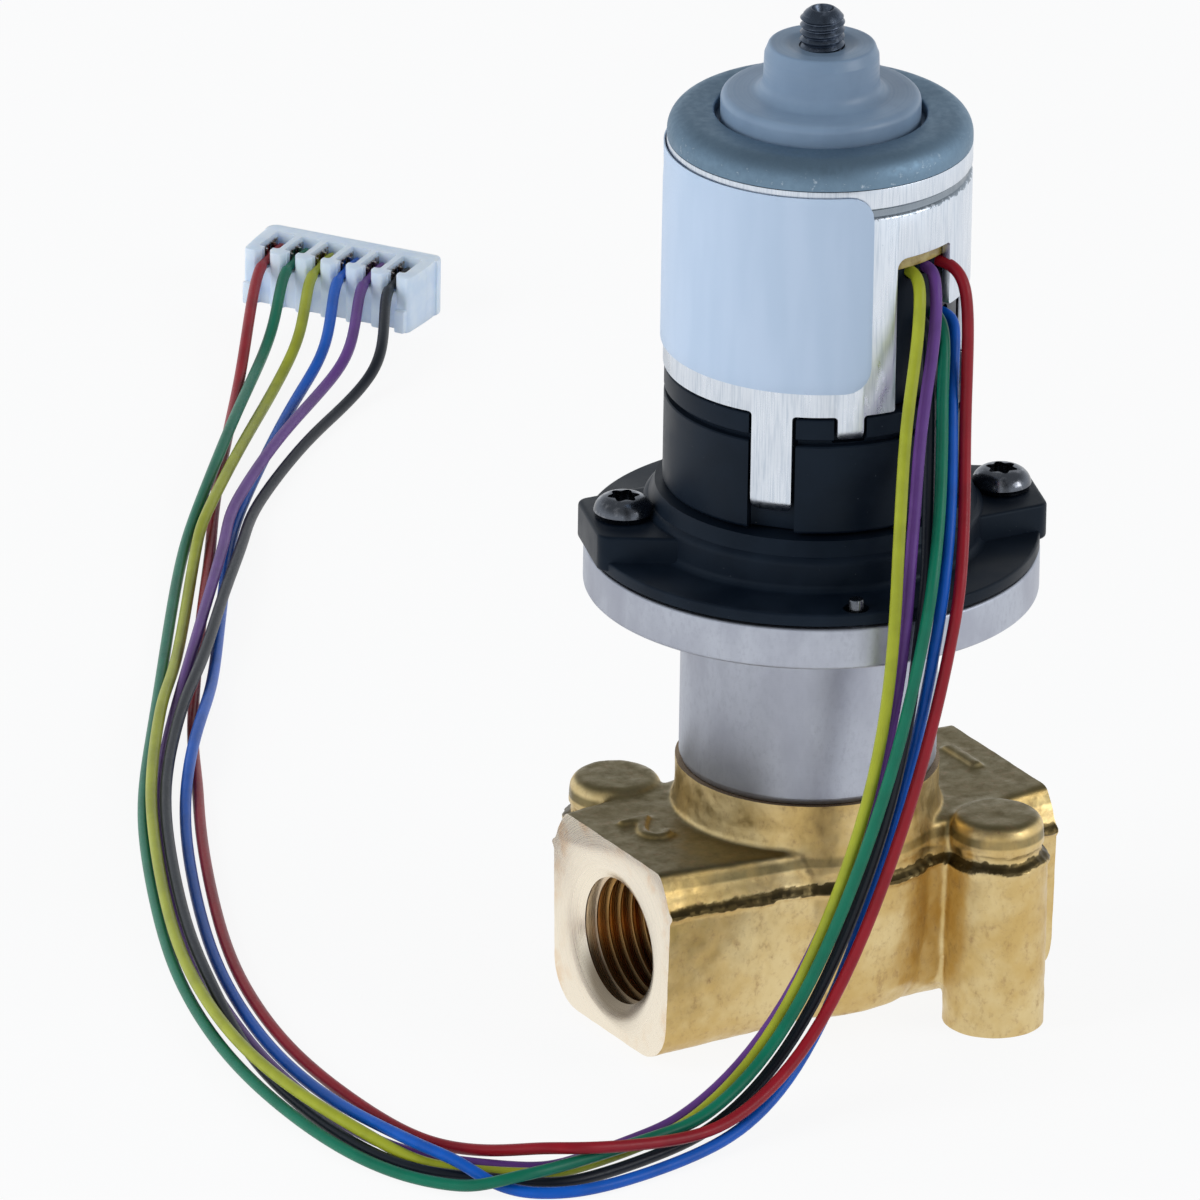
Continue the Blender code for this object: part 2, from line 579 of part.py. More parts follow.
def make_body(brass):
    """The forged body: port bar, drum, neck boss, and two mounting pillars on webs."""
    body = prism("valve_body", bar_outline(), -PORT_REACH, PORT_REACH, brass, axis="X")
    swell_bar(body.data)
    drum = [
        (0.0, BOSS_TOP_Z),
        (BOSS_R - 0.3 * MM, BOSS_TOP_Z),
        (BOSS_R, BOSS_TOP_Z - 0.4 * MM),
        (BOSS_R, BODY_TOP_Z + 1.4 * MM),
        (DRUM_SHOULDER_R, BODY_TOP_Z - 0.1 * MM),
        (DRUM_R, PARTING_Z),
        (DRUM_WAIST_R, PORT_AXIS_Z),
        (DRUM_FOOT_R, DRUM_BOTTOM_Z + 1.8 * MM),
        (DRUM_FOOT_R - 1.6 * MM, DRUM_BOTTOM_Z),
        (0.0, DRUM_BOTTOM_Z),
    ]
    combine(body, lathe("drum", drum, steps=FINE_STEPS), "UNION")
    for side in (1, -1):
        pillar = [
            (0.0, PILLAR_TOP_Z),
            (PILLAR_TOP_R - 1.5 * MM, PILLAR_TOP_Z),
            (PILLAR_TOP_R - 0.6 * MM, PILLAR_TOP_Z - 0.3 * MM),
            (PILLAR_TOP_R, PILLAR_TOP_Z - 1.3 * MM),
            (PILLAR_R, PARTING_Z - 0.8 * MM),
            (PILLAR_R, 0.3 * MM),
            (PILLAR_R - 0.3 * MM, 0.0),
            (0.0, 0.0),
        ]
        post = lathe(f"pillar_{side}", pillar, steps=ROUND_STEPS)
        post.location = (PILLAR_X * side, -PILLAR_Y * side, 0.0)
        web_turn = math.degrees(math.atan2(-PILLAR_Y * side, PILLAR_X * side))
        web_reach = math.hypot(PILLAR_X, PILLAR_Y)
        web_height = PARTING_Z - 0.5 * MM - WEB_BOTTOM_Z
        centre = turned(web_turn, web_reach / 2.0 + 2.0 * MM, WEB_BOTTOM_Z + web_height / 2.0)
        web = block(f"web_{side}", (web_reach - 4.0 * MM, WEB_WIDTH, web_height), centre, turn=web_turn)
        combine(body, web, "UNION")
        combine(body, post, "UNION")
        hole = rod(
            f"pillar_hole_{side}",
            PILLAR_HOLE_R,
            (PILLAR_X * side, -PILLAR_Y * side, -1.0 * MM),
            (PILLAR_X * side, -PILLAR_Y * side, PILLAR_HOLE_DEPTH),
        )
        combine(body, hole)
        combine(body, port_bore(side))
    chamber = rod("chamber", CHAMBER_R, (0, 0, CHAMBER_FLOOR_Z), (0, 0, BOSS_TOP_Z + 1.0 * MM), FINE_STEPS)
    pocket_floor = CHAMBER_FLOOR_Z - SEAT_DEPTH
    pocket = rod("seat_pocket", SEAT_R + SEAT_GAP, (0, 0, pocket_floor), (0, 0, CHAMBER_FLOOR_Z + 1.0 * MM))
    rise = rod("inlet_rise", SEAT_R - 1.1 * MM, (0, 0, PORT_AXIS_Z), (0, 0, pocket_floor + 0.5 * MM))
    inlet_start = -(PORT_REACH - PORT_BORE_DEPTH)
    inlet = rod("inlet", PASSAGE_R, (inlet_start, 0, PORT_AXIS_Z), (0.4 * MM, 0, PORT_AXIS_Z))
    outlet_low = (OUTLET_X, 0, PORT_AXIS_Z)
    outlet = rod("outlet", PASSAGE_R, (OUTLET_X - 0.2 * MM, 0, PORT_AXIS_Z), (-inlet_start, 0, PORT_AXIS_Z))
    outlet_rise = rod("outlet_rise", OUTLET_RISE_R, outlet_low, (OUTLET_X, 0, CHAMBER_FLOOR_Z + 1.0 * MM))
    for cutter in (chamber, pocket, rise, inlet, outlet, outlet_rise):
        combine(body, cutter)
    return body


def make_seat(steel):
    """The pressed-in seat ring with its metering orifice and raised lip."""
    profile = [
        (SEAT_LIP_R, SEAT_LIP_Z),
        (SEAT_LIP_R + 0.3 * MM, SEAT_SHOULDER_Z),
        (SEAT_R, SEAT_SHOULDER_Z),
        (SEAT_R, CHAMBER_FLOOR_Z - SEAT_DEPTH + SEAT_GAP),
        (ORIFICE_R, CHAMBER_FLOOR_Z - SEAT_DEPTH + SEAT_GAP),
        (ORIFICE_R, SEAT_LIP_Z),
    ]
    return lathe("seat_ring", profile, steel, SMALL_STEPS)


def make_tube(steel):
    """The turned steel tube with its spigot, seal groove, gland and wide disc."""
    spigot_r = CHAMBER_R - SEAT_GAP
    groove_r = spigot_r - 2.0 * NECK_SEAL_R
    groove_half = NECK_SEAL_R + 0.15 * MM
    neck_bottom = BOSS_TOP_Z + SEAT_GAP
    stem_hole = STEM_R + RUN_GAP
    profile = [
        (DISC_R - DISC_EDGE, DISC_TOP_Z),
        (DISC_R, DISC_TOP_Z - DISC_EDGE),
        (DISC_R, DISC_BOTTOM_Z + DISC_EDGE),
        (DISC_R - DISC_EDGE, DISC_BOTTOM_Z),
        (NECK_R, DISC_BOTTOM_Z),
        (NECK_R, neck_bottom),
        (spigot_r, neck_bottom),
        (spigot_r, NECK_SEAL_Z + groove_half),
        (groove_r, NECK_SEAL_Z + groove_half),
        (groove_r, NECK_SEAL_Z - groove_half),
        (spigot_r, NECK_SEAL_Z - groove_half),
        (spigot_r, SPIGOT_BOTTOM_Z),
        (TUBE_BORE_R, SPIGOT_BOTTOM_Z),
        (TUBE_BORE_R, TUBE_SHELF_Z),
        (stem_hole, TUBE_SHELF_Z),
        (stem_hole, GLAND_FLOOR_Z),
        (GLAND_R, GLAND_FLOOR_Z),
        (GLAND_R, GLAND_TOP_Z),
        (DISC_RECESS_R, GLAND_TOP_Z),
        (DISC_RECESS_R, DISC_TOP_Z),
    ]
    tube = lathe("flanged_tube", profile, steel, FINE_STEPS)
    for side in (0, 1):
        centre = turned(EAR_TURN + 180.0 * side, SCREW_SPACING / 2.0)
        low = (centre.x, centre.y, SCREW_END_Z - SEAT_GAP)
        high = (centre.x, centre.y, DISC_TOP_Z + 1.0 * MM)
        combine(tube, rod(f"disc_screw_hole_{side}", SCREW_SHANK_R + SEAT_GAP, low, high, 16))
    pin_low = PLATE_TOP_Z + PIN_PROUD - PIN_LENGTH - SEAT_GAP
    pin_high = DISC_TOP_Z + 1.0 * MM
    pin_hole = rod("disc_pin_hole", PIN_R + SEAT_GAP, (PIN_X, PIN_Y, pin_low), (PIN_X, PIN_Y, pin_high), 16)
    combine(tube, pin_hole)
    return tube


def make_plunger(steel, rubber, brass, spring_steel):
    """The plunger with its seal disc and spring, the gland's seal and guide bush, and the neck seal."""
    recess_r = SEAL_DISC_R + SEAT_GAP
    recess_top = SEAT_LIP_Z + SEAT_GAP + SEAL_DISC_HEIGHT + SEAT_GAP
    socket_r = SPINDLE_R + SEAT_GAP
    profile = [
        (STEM_R - 0.2 * MM, PLUNGER_TOP_Z),
        (STEM_R, PLUNGER_TOP_Z - 0.2 * MM),
        (STEM_R, PLUNGER_HEAD_TOP_Z),
        (PLUNGER_HEAD_R - 0.3 * MM, PLUNGER_HEAD_TOP_Z),
        (PLUNGER_HEAD_R, PLUNGER_HEAD_TOP_Z - 0.3 * MM),
        (PLUNGER_HEAD_R, PLUNGER_BOTTOM_Z + 0.6 * MM),
        (PLUNGER_HEAD_R - 0.6 * MM, PLUNGER_BOTTOM_Z),
        (recess_r, PLUNGER_BOTTOM_Z),
        (recess_r, recess_top),
        (0.0, recess_top),
    ]
    socket_floor = SPINDLE_BOTTOM_Z - SEAT_GAP
    profile = [(0.0, socket_floor), (socket_r, socket_floor), (socket_r, PLUNGER_TOP_Z)] + profile
    lathe("plunger", profile, steel, SMALL_STEPS)

    disc_bottom = SEAT_LIP_Z + SEAT_GAP
    disc_top = disc_bottom + SEAL_DISC_HEIGHT
    disc = [(0.0, disc_top), (SEAL_DISC_R, disc_top), (SEAL_DISC_R, disc_bottom), (0.0, disc_bottom)]
    lathe("seal_disc", disc, rubber, SMALL_STEPS)

    seal_centre = STEM_R + SEAT_GAP + STEM_SEAL_R
    seal_z = GLAND_FLOOR_Z + SEAT_GAP + STEM_SEAL_R
    ring("stem_seal", seal_centre, STEM_SEAL_R, seal_z, rubber, SMALL_STEPS, 8)
    bush_top = GLAND_TOP_Z - TRIM_GAP
    bush_low = bush_top - BUSH_HEIGHT
    bush = [
        (GLAND_R - SEAT_GAP, bush_top),
        (GLAND_R - SEAT_GAP, bush_low),
        (STEM_R + RUN_GAP, bush_low),
        (STEM_R + RUN_GAP, bush_top),
    ]
    lathe("guide_bush", bush, brass, SMALL_STEPS)
    neck_centre = CHAMBER_R - TRIM_GAP - NECK_SEAL_R
    ring("neck_seal", neck_centre, NECK_SEAL_R, NECK_SEAL_Z, rubber, ROUND_STEPS, 8)

    low = PLUNGER_HEAD_TOP_Z + SEAT_GAP + SPRING_WIRE_R
    high = TUBE_SHELF_Z - SEAT_GAP - SPRING_WIRE_R
    count = SPRING_TURNS * SPRING_POINTS_PER_TURN
    points = []
    for i in range(count + 1):
        share = i / count
        lift = share - math.sin(2.0 * math.pi * share) / (2.0 * math.pi)
        points.append(turned(360.0 * SPRING_TURNS * share, SPRING_R, low + (high - low) * lift))
    wire("return_spring", points, SPRING_WIRE_R, spring_steel)


def wire(name, points, radius, material):
    """A round wire along a list of points, with closed ends."""
    curve = bpy.data.curves.new(name, "CURVE")
    curve.dimensions = "3D"
    spline = curve.splines.new("POLY")
    spline.points.add(len(points) - 1)
    for slot, point in zip(spline.points, points):
        slot.co = (*point, 1.0)
    curve.bevel_depth = radius
    curve.bevel_resolution = 2
    curve.render_resolution_u = 0
    curve.use_fill_caps = True
    return add(name, curve, material)


def ear_outline():
    """One ear of the motor flange, seen from above, with its length along X."""
    shoulder = EAR_REACH - 2.2 * MM
    root = FLANGE_BOSS_R - 3.0 * MM
    half = [
        (EAR_REACH, EAR_END_HALF_WIDTH, EAR_CORNER_R),
        (shoulder, EAR_SHOULDER_HALF_WIDTH, EAR_CORNER_R),
        (root, EAR_ROOT_HALF_WIDTH, 0.0),
        (0.0, EAR_ROOT_HALF_WIDTH, 0.0),
    ]
    return filleted([(x, -y, r) for x, y, r in reversed(half)] + half)


def make_motor_flange(plastic):
    """The black moulded flange: thin plate, stepped boss, spigot, bearing pocket and two screw ears."""
    plate_low = DISC_TOP_Z + SEAT_GAP
    bearing_r = JOURNAL_R + RUN_GAP + BEARING_WALL + SEAT_GAP
    bearing_floor = BEARING_BOTTOM_Z - SEAT_GAP
    spigot_low = GLAND_TOP_Z + SEAT_GAP
    profile = [
        (FLANGE_STEP_R, FLANGE_BOSS_TOP_Z),
        (FLANGE_STEP_R, FLANGE_STEP_Z),
        (FLANGE_BOSS_R - 0.3 * MM, FLANGE_STEP_Z),
        (FLANGE_BOSS_R, FLANGE_STEP_Z - 0.3 * MM),
        (FLANGE_BOSS_R, PLATE_TOP_Z),
        (DISC_R - PLATE_EDGE, PLATE_TOP_Z),
        (DISC_R, PLATE_TOP_Z - PLATE_EDGE),
        (DISC_R, plate_low),
        (DISC_RECESS_R - SEAT_GAP, plate_low),
        (DISC_RECESS_R - SEAT_GAP, spigot_low),
        (STEM_R + RUN_GAP, spigot_low),
        (STEM_R + RUN_GAP, bearing_floor),
        (bearing_r, bearing_floor),
        (bearing_r, FLANGE_BOSS_TOP_Z),
    ]
    flange = lathe("motor_flange", profile, plastic, FINE_STEPS)
    hollow_r = FLANGE_STEP_R - 3.0 * MM
    for side in (0, 1):
        turn = EAR_TURN + 180.0 * side
        ear = prism(f"ear_{side}", ear_outline(), plate_low + 0.1 * MM, EAR_TOP_Z)
        ear.rotation_euler.z = math.radians(turn)
        core_top = EAR_TOP_Z + 1.0 * MM
        core = rod(f"ear_core_{side}", hollow_r, (0, 0, plate_low), (0, 0, core_top), ROUND_STEPS)
        combine(ear, core)
        combine(flange, ear, "UNION")
    for side in (0, 1):
        centre = turned(EAR_TURN + 180.0 * side, SCREW_SPACING / 2.0)
        low = (centre.x, centre.y, DISC_TOP_Z)
        high = (centre.x, centre.y, EAR_TOP_Z + 1.0 * MM)
        combine(flange, rod(f"ear_screw_hole_{side}", SCREW_SHANK_R + SEAT_GAP, low, high, 16))
    pin_low = (PIN_X, PIN_Y, DISC_TOP_Z)
    pin_high = (PIN_X, PIN_Y, PLATE_TOP_Z + 1.0 * MM)
    combine(flange, rod("plate_pin_hole", PIN_R + SEAT_GAP, pin_low, pin_high, 16))
    return flange


def make_flange_fasteners(steel):
    """Two pan-head screws through the ears and the locating pin."""
    for side, name in enumerate(("flange_screw_right", "flange_screw_left")):
        low = EAR_TOP_Z + SEAT_GAP
        top = low + SCREW_HEAD_HEIGHT
        profile = [
            (0.0, top),
            (SCREW_HEAD_R - 0.55 * MM, top),
            (SCREW_HEAD_R - 0.15 * MM, top - 0.3 * MM),
            (SCREW_HEAD_R, top - 0.7 * MM),
            (SCREW_HEAD_R, low),
            (SCREW_SHANK_R, low),
            (SCREW_SHANK_R, SCREW_END_Z),
            (0.0, SCREW_END_Z),
        ]
        screw = lathe(name, profile, steel, SMALL_STEPS)
        centre = turned(EAR_TURN + 180.0 * side, SCREW_SPACING / 2.0)
        screw.location = centre
        socket = rod(
            f"{name}_socket",
            SCREW_SOCKET_R,
            (centre.x, centre.y, top - 0.6 * MM),
            (centre.x, centre.y, top + 1.0 * MM),
            6,
        )
        combine(screw, socket)
    pin_top = PLATE_TOP_Z + PIN_PROUD
    rod("locating_pin", PIN_R, (PIN_X, PIN_Y, pin_top - PIN_LENGTH), (PIN_X, PIN_Y, pin_top), 16, steel)


def make_rotor(plastic, magnet, steel, bronze):
    """The rotor hub that is the spindle's nut, its ring magnet, the spindle and the front bearing."""
    bearing_in = JOURNAL_R + RUN_GAP
    bearing_top = FLANGE_BOSS_TOP_Z - SEAT_GAP
    bearing = [
        (bearing_in + BEARING_WALL, bearing_top),
        (bearing_in + BEARING_WALL, BEARING_BOTTOM_Z),
        (bearing_in, BEARING_BOTTOM_Z),
        (bearing_in, bearing_top),
    ]
    lathe("front_bearing", bearing, bronze, SMALL_STEPS)
    nut_bore = SPINDLE_R + RUN_GAP
    collar_top = MAGNET_BOTTOM_Z - SEAT_GAP
    hub = [
        (JOURNAL_R, JOURNAL_TOP_Z),
        (JOURNAL_R, HUB_TOP_Z),
        (HUB_R, HUB_TOP_Z),
        (HUB_R, collar_top),
        (HUB_COLLAR_R, collar_top),
        (HUB_COLLAR_R, HUB_BOTTOM_Z),
        (JOURNAL_R, HUB_BOTTOM_Z),
        (JOURNAL_R, JOURNAL_BOTTOM_Z),
        (nut_bore, JOURNAL_BOTTOM_Z),
        (nut_bore, JOURNAL_TOP_Z),
    ]
    lathe("rotor_hub", hub, plastic, SMALL_STEPS)
    magnet_ring = [
        (MAGNET_R, MAGNET_TOP_Z),
        (MAGNET_R, MAGNET_BOTTOM_Z),
        (HUB_R + SEAT_GAP, MAGNET_BOTTOM_Z),
        (HUB_R + SEAT_GAP, MAGNET_TOP_Z),
    ]
    lathe("rotor_magnet", magnet_ring, magnet, SMALL_STEPS)
    spindle = [
        (0.0, SPINDLE_TOP_Z),
        (SPINDLE_R - SPINDLE_TIP_CHAMFER, SPINDLE_TOP_Z),
        (SPINDLE_R, SPINDLE_TOP_Z - SPINDLE_TIP_CHAMFER),
        (SPINDLE_R, SPINDLE_BOTTOM_Z),
        (0.0, SPINDLE_BOTTOM_Z),
    ]
    screw = lathe("spindle", spindle, steel, SMALL_STEPS)
    socket_low = (0, 0, SPINDLE_TOP_Z - 0.8 * MM)
    combine(screw, rod("spindle_socket", 0.55 * MM, socket_low, (0, 0, SPINDLE_TOP_Z + 1.0 * MM), 6))


def make_coils(iron, plastic, copper):
    """Three pole plates with claws round the rotor, and two wound bobbins between them."""
    stack_low = HOUSING_TOP_Z + SEAT_GAP
    stack_high = CAN_TOP_Z - SEAT_GAP
    coil_height = (stack_high - stack_low - 3.0 * POLE_THICKNESS - 4.0 * SEAT_GAP) / 2.0
    plate_lows = (
        stack_low,
        stack_low + POLE_THICKNESS + coil_height + 2.0 * SEAT_GAP,
        stack_high - POLE_THICKNESS,
    )
    names = ("lower_pole_plate", "middle_pole_plate", "upper_pole_plate")
    rises = ((0.0, CLAW_LENGTH), (CLAW_LENGTH, CLAW_LENGTH), (CLAW_LENGTH, 0.0))
    for name, low, (down, up) in zip(names, plate_lows, rises):
        high = low + POLE_THICKNESS
        bottom = low - down
        top = high + up
        profile = [(POLE_CLAW_R, top)] if up else [(POLE_OUTER_R, high)]
        if up:
            profile += [(POLE_CLAW_R, high), (POLE_OUTER_R, high)]
        profile.append((POLE_OUTER_R, low))
        if down:
            profile += [(POLE_CLAW_R, low), (POLE_CLAW_R, bottom)]
        profile += [(POLE_INNER_R, bottom), (POLE_INNER_R, top)]
        plate = lathe(name, profile, iron, SMALL_STEPS)
        pitch = 360.0 / CLAW_COUNT
        for i in range(CLAW_COUNT):
            for zone, (gap_low, gap_high, shift) in enumerate(
                ((high, top + 1.0 * MM, 0.0), (bottom - 1.0 * MM, low, pitch / 2.0))
            ):
                if (zone == 0 and not up) or (zone == 1 and not down):
                    continue
                start = i * pitch + shift + CLAW_HALF_ANGLE
                end = (i + 1) * pitch + shift - CLAW_HALF_ANGLE
                gap_r = POLE_CLAW_R + 0.3 * MM
                gap = sector(f"{name}_gap_{zone}_{i}", gap_r, start, end, gap_low, gap_high)
                combine(plate, gap)
        if low < BLOCK_TOP_Z:
            room_start = WINDOW_START_ANGLE - BLOCK_SIDE_MARGIN
            room_end = NOTCH_END_ANGLE + BLOCK_SIDE_MARGIN
            room_r = BLOCK_INNER_R - SEAT_GAP
            room = sector(f"{name}_room", CAN_R, room_start, room_end, bottom, top, inner=room_r)
            combine(plate, room)
    for name, low in zip(("lower", "upper"), plate_lows):
        bottom = low + POLE_THICKNESS + SEAT_GAP
        top = bottom + coil_height
        bobbin = [
            (BOBBIN_FLANGE_R, top),
            (BOBBIN_FLANGE_R, top - BOBBIN_FLANGE),
            (BOBBIN_BARREL_R, top - BOBBIN_FLANGE),
            (BOBBIN_BARREL_R, bottom + BOBBIN_FLANGE),
            (BOBBIN_FLANGE_R, bottom + BOBBIN_FLANGE),
            (BOBBIN_FLANGE_R, bottom),
            (BOBBIN_INNER_R, bottom),
            (BOBBIN_INNER_R, top),
        ]
        lathe(f"{name}_bobbin", bobbin, plastic, SMALL_STEPS)
        wind_low = bottom + BOBBIN_FLANGE + TRIM_GAP
        wind_high = top - BOBBIN_FLANGE - TRIM_GAP
        winding = [
            (WINDING_R, wind_high),
            (WINDING_R, wind_low),
            (BOBBIN_BARREL_R + TRIM_GAP, wind_low),
            (BOBBIN_BARREL_R + TRIM_GAP, wind_high),
        ]
        lathe(f"{name}_winding", winding, copper, SMALL_STEPS)


def make_front_housing(plastic):
    """The black front cover of the motor, with a split line, and recesses for the can's straps and tabs.

    A strap's recess runs out through the bottom rim, and a tab's ends just below the split.
    """
    hole_r = JOURNAL_R + RUN_GAP + BEARING_WALL
    profile = [
        (HOUSING_R, HOUSING_TOP_Z),
        (HOUSING_R, SPLIT_Z + SPLIT_HEIGHT),
        (HOUSING_R - SPLIT_DEPTH, SPLIT_Z + SPLIT_HEIGHT),
        (HOUSING_R - SPLIT_DEPTH, SPLIT_Z),
        (HOUSING_R, SPLIT_Z),
        (HOUSING_R, HOUSING_BOTTOM_Z + 0.3 * MM),
        (HOUSING_R - 0.3 * MM, HOUSING_BOTTOM_Z),
        (hole_r, HOUSING_BOTTOM_Z),
        (hole_r, HOUSING_FLOOR_Z),
        (HOUSING_INNER_R, HOUSING_FLOOR_Z),
        (HOUSING_INNER_R, HOUSING_TOP_Z),
    ]
    housing = lathe("front_housing", profile, plastic, FINE_STEPS)
    features = [(turn, STRAP_HALF_ANGLE, HOUSING_BOTTOM_Z) for turn in STRAP_TURNS]
    features += [(turn, TAB_HALF_ANGLE, TAB_BOTTOM_Z) for turn in TAB_TURNS]
    for i, (turn, half, bottom) in enumerate(features):
        outer = CAN_R + 1.0 * MM
        depth = outer - STRAP_RECESS_R
        width = 2.0 * CAN_R * math.sin(math.radians(half + STRAP_RECESS_MARGIN))
        low = bottom - STRAP_RECESS_DROP
        high = HOUSING_TOP_Z + 1.0 * MM
        centre = turned(turn, STRAP_RECESS_R + depth / 2.0, (low + high) / 2.0)
        combine(housing, block(f"strap_recess_{i}", (depth, width, high - low), centre, turn=turn))
    return housing


def make_can(steel):
    """The drawn motor can with its rolled groove, lead window, two straps and two short tabs."""
    inner = CAN_R - CAN_WALL
    groove = CAN_R - CAN_GROOVE_DEPTH
    profile = [
        (CAN_R, CAN_TOP_Z),
        (CAN_R, CAN_GROOVE_Z + CAN_GROOVE_HALF),
        (groove, CAN_GROOVE_Z),
        (CAN_R, CAN_GROOVE_Z - CAN_GROOVE_HALF),
        (CAN_R, STRAP_BOTTOM_Z),
        (inner, STRAP_BOTTOM_Z),
        (inner, CAN_TOP_Z),
    ]
    can = lathe("motor_can", profile, steel, FINE_STEPS)
    below = STRAP_BOTTOM_Z - 1.0 * MM
    reach = CAN_R + 2.0 * MM
    strap_a, strap_b = STRAP_TURNS
    tab_a, tab_b = TAB_TURNS
    lap = 2.0
    gaps = (
        (strap_a + STRAP_HALF_ANGLE, tab_a - TAB_HALF_ANGLE, CAN_BOTTOM_Z),
        (tab_a - TAB_HALF_ANGLE - lap, tab_a + TAB_HALF_ANGLE + lap, TAB_BOTTOM_Z),
        (tab_a + TAB_HALF_ANGLE, WINDOW_START_ANGLE + lap, CAN_BOTTOM_Z),
        (WINDOW_START_ANGLE, WINDOW_END_ANGLE, WINDOW_TOP_Z),
        (WINDOW_END_ANGLE - lap, NOTCH_END_ANGLE, NOTCH_TOP_Z),
        (NOTCH_END_ANGLE - lap, strap_b - STRAP_HALF_ANGLE, CAN_BOTTOM_Z),
        (strap_b + STRAP_HALF_ANGLE, tab_b - TAB_HALF_ANGLE, CAN_BOTTOM_Z),
        (tab_b - TAB_HALF_ANGLE - lap, tab_b + TAB_HALF_ANGLE + lap, TAB_BOTTOM_Z),
        (tab_b + TAB_HALF_ANGLE, strap_a - STRAP_HALF_ANGLE + 360.0, CAN_BOTTOM_Z),
    )
    for i, (start, end, top) in enumerate(gaps):
        combine(can, sector(f"can_gap_{i}", reach, start, end, below, top, inner=inner - 1.0 * MM))
    return can


def make_label(film):
    """The blank label wrapped round the left of the can."""
    inner = CAN_R + TRIM_GAP
    outer = inner + LABEL_THICKNESS
    profile = [(outer, LABEL_TOP_Z), (outer, LABEL_BOTTOM_Z), (inner, LABEL_BOTTOM_Z), (inner, LABEL_TOP_Z)]
    label = lathe("label", profile, film, FINE_STEPS)
    low = LABEL_BOTTOM_Z - 1.0 * MM
    high = LABEL_TOP_Z + 1.0 * MM
    gap = sector("label_gap", outer + 2.0 * MM, LABEL_END_ANGLE - 360.0, LABEL_START_ANGLE, low, high)
    combine(label, gap)
    return label


def make_end_plate(steel):
    """The drawn end plate on top of the can, with its large hole."""
    low = CAN_TOP_Z + SEAT_GAP
    corner = (CAN_R - END_PLATE_CORNER_R, END_PLATE_TOP_Z - END_PLATE_CORNER_R)
    under = END_PLATE_TOP_Z - END_PLATE_THICKNESS
    profile = [(END_PLATE_HOLE_R, END_PLATE_TOP_Z)]
    profile += arc(corner, END_PLATE_CORNER_R, 90.0, 0.0, 5)
    profile += [
        (CAN_R, low),
        (CAN_R - END_PLATE_THICKNESS, low),
        (CAN_R - END_PLATE_THICKNESS, under),
        (END_PLATE_HOLE_R, under),
    ]
    return lathe("end_plate", profile, steel, FINE_STEPS)


def make_top_bush(plastic):
    """The grey guide bush that fills the end plate's hole and rises in a collar round the spindle."""
    foot_top = END_PLATE_TOP_Z - END_PLATE_THICKNESS - SEAT_GAP
    foot_low = CAN_TOP_Z + TRIM_GAP
    journal_room = JOURNAL_R + RUN_GAP
    bore = SPINDLE_R + RUN_GAP
    edge = 0.6 * MM
    fillet_centre = (BUSH_COLLAR_R + BUSH_FILLET_R, BUSH_DISC_TOP_Z + BUSH_FILLET_R)
    profile = [(BUSH_RIM_R, BUSH_TOP_Z), (BUSH_COLLAR_R, BUSH_TOP_Z - 0.3 * MM)]
    profile += arc(fillet_centre, BUSH_FILLET_R, 180.0, 270.0, 4)
    profile += arc((BUSH_DISC_R - edge, BUSH_DISC_TOP_Z - edge), edge, 90.0, 0.0, 3)
    profile += [
        (BUSH_DISC_R, foot_top),
        (BUSH_FOOT_R, foot_top),
        (BUSH_FOOT_R, foot_low),
        (journal_room, foot_low),
        (journal_room, JOURNAL_TOP_Z + RUN_GAP),
        (bore, JOURNAL_TOP_Z + RUN_GAP),
        (bore, BUSH_TOP_Z - 0.4 * MM),
        (bore + 0.4 * MM, BUSH_TOP_Z - 0.1 * MM),
    ]
    return lathe("top_bush", profile, plastic, ROUND_STEPS)


def make_terminal_block(plastic, amber):
    """The block that fills the can's window, with a hole for each lead, and the strip above it."""
    profile = [
        (BLOCK_OUTER_R, BLOCK_TOP_Z),
        (BLOCK_OUTER_R, BLOCK_BOTTOM_Z),
        (BLOCK_INNER_R, BLOCK_BOTTOM_Z),
        (BLOCK_INNER_R, BLOCK_TOP_Z),
    ]
    body = lathe("terminal_block", profile, plastic, FINE_STEPS)
    start = WINDOW_START_ANGLE + BLOCK_SIDE_MARGIN
    end = NOTCH_END_ANGLE - BLOCK_SIDE_MARGIN
    low = BLOCK_BOTTOM_Z - 1.0 * MM
    high = BLOCK_TOP_Z + 1.0 * MM
    combine(body, sector("block_gap", CAN_R, end, start + 360.0, low, high))
    step_low = NOTCH_TOP_Z - SEAT_GAP
    step_start = WINDOW_END_ANGLE - BLOCK_SIDE_MARGIN
    combine(body, sector("block_step", CAN_R, step_start, end + 1.0, step_low, high))
    for name, points in LEADS.items():
        first = Vector(points[0]) * MM
        second = Vector(points[1]) * MM
        along = (second - first).normalized()
        reach = along * 3.0 * MM
        hole = rod(f"{name}_hole", LEAD_R + LEAD_HOLE_GAP, first - reach, first + reach, 10)
        combine(body, hole)
    strip_in = BLOCK_OUTER_R + TRIM_GAP
    strip_out = strip_in + STRIP_THICKNESS
    strip = [
        (strip_out, STRIP_TOP_Z),
        (strip_out, STRIP_BOTTOM_Z),
        (strip_in, STRIP_BOTTOM_Z),
        (strip_in, STRIP_TOP_Z),
    ]
    made = lathe("insulation_strip", strip, amber, FINE_STEPS)
    strip_start = WINDOW_START_ANGLE - STRIP_MARGIN
    strip_end = WINDOW_END_ANGLE + STRIP_MARGIN
    low = STRIP_BOTTOM_Z - 1.0 * MM
    high = STRIP_TOP_Z + 1.0 * MM
    combine(made, sector("strip_gap", CAN_R, strip_end, strip_start + 360.0, low, high))
    return body


def in_connector(point):
    """A point in the connector's own frame, carried to its place on the surface."""
    turn = Matrix.Rotation(math.radians(CONNECTOR_TURN), 3, "Z")
    return Vector((CONNECTOR_X, CONNECTOR_Y, 0.0)) + turn @ Vector(point)


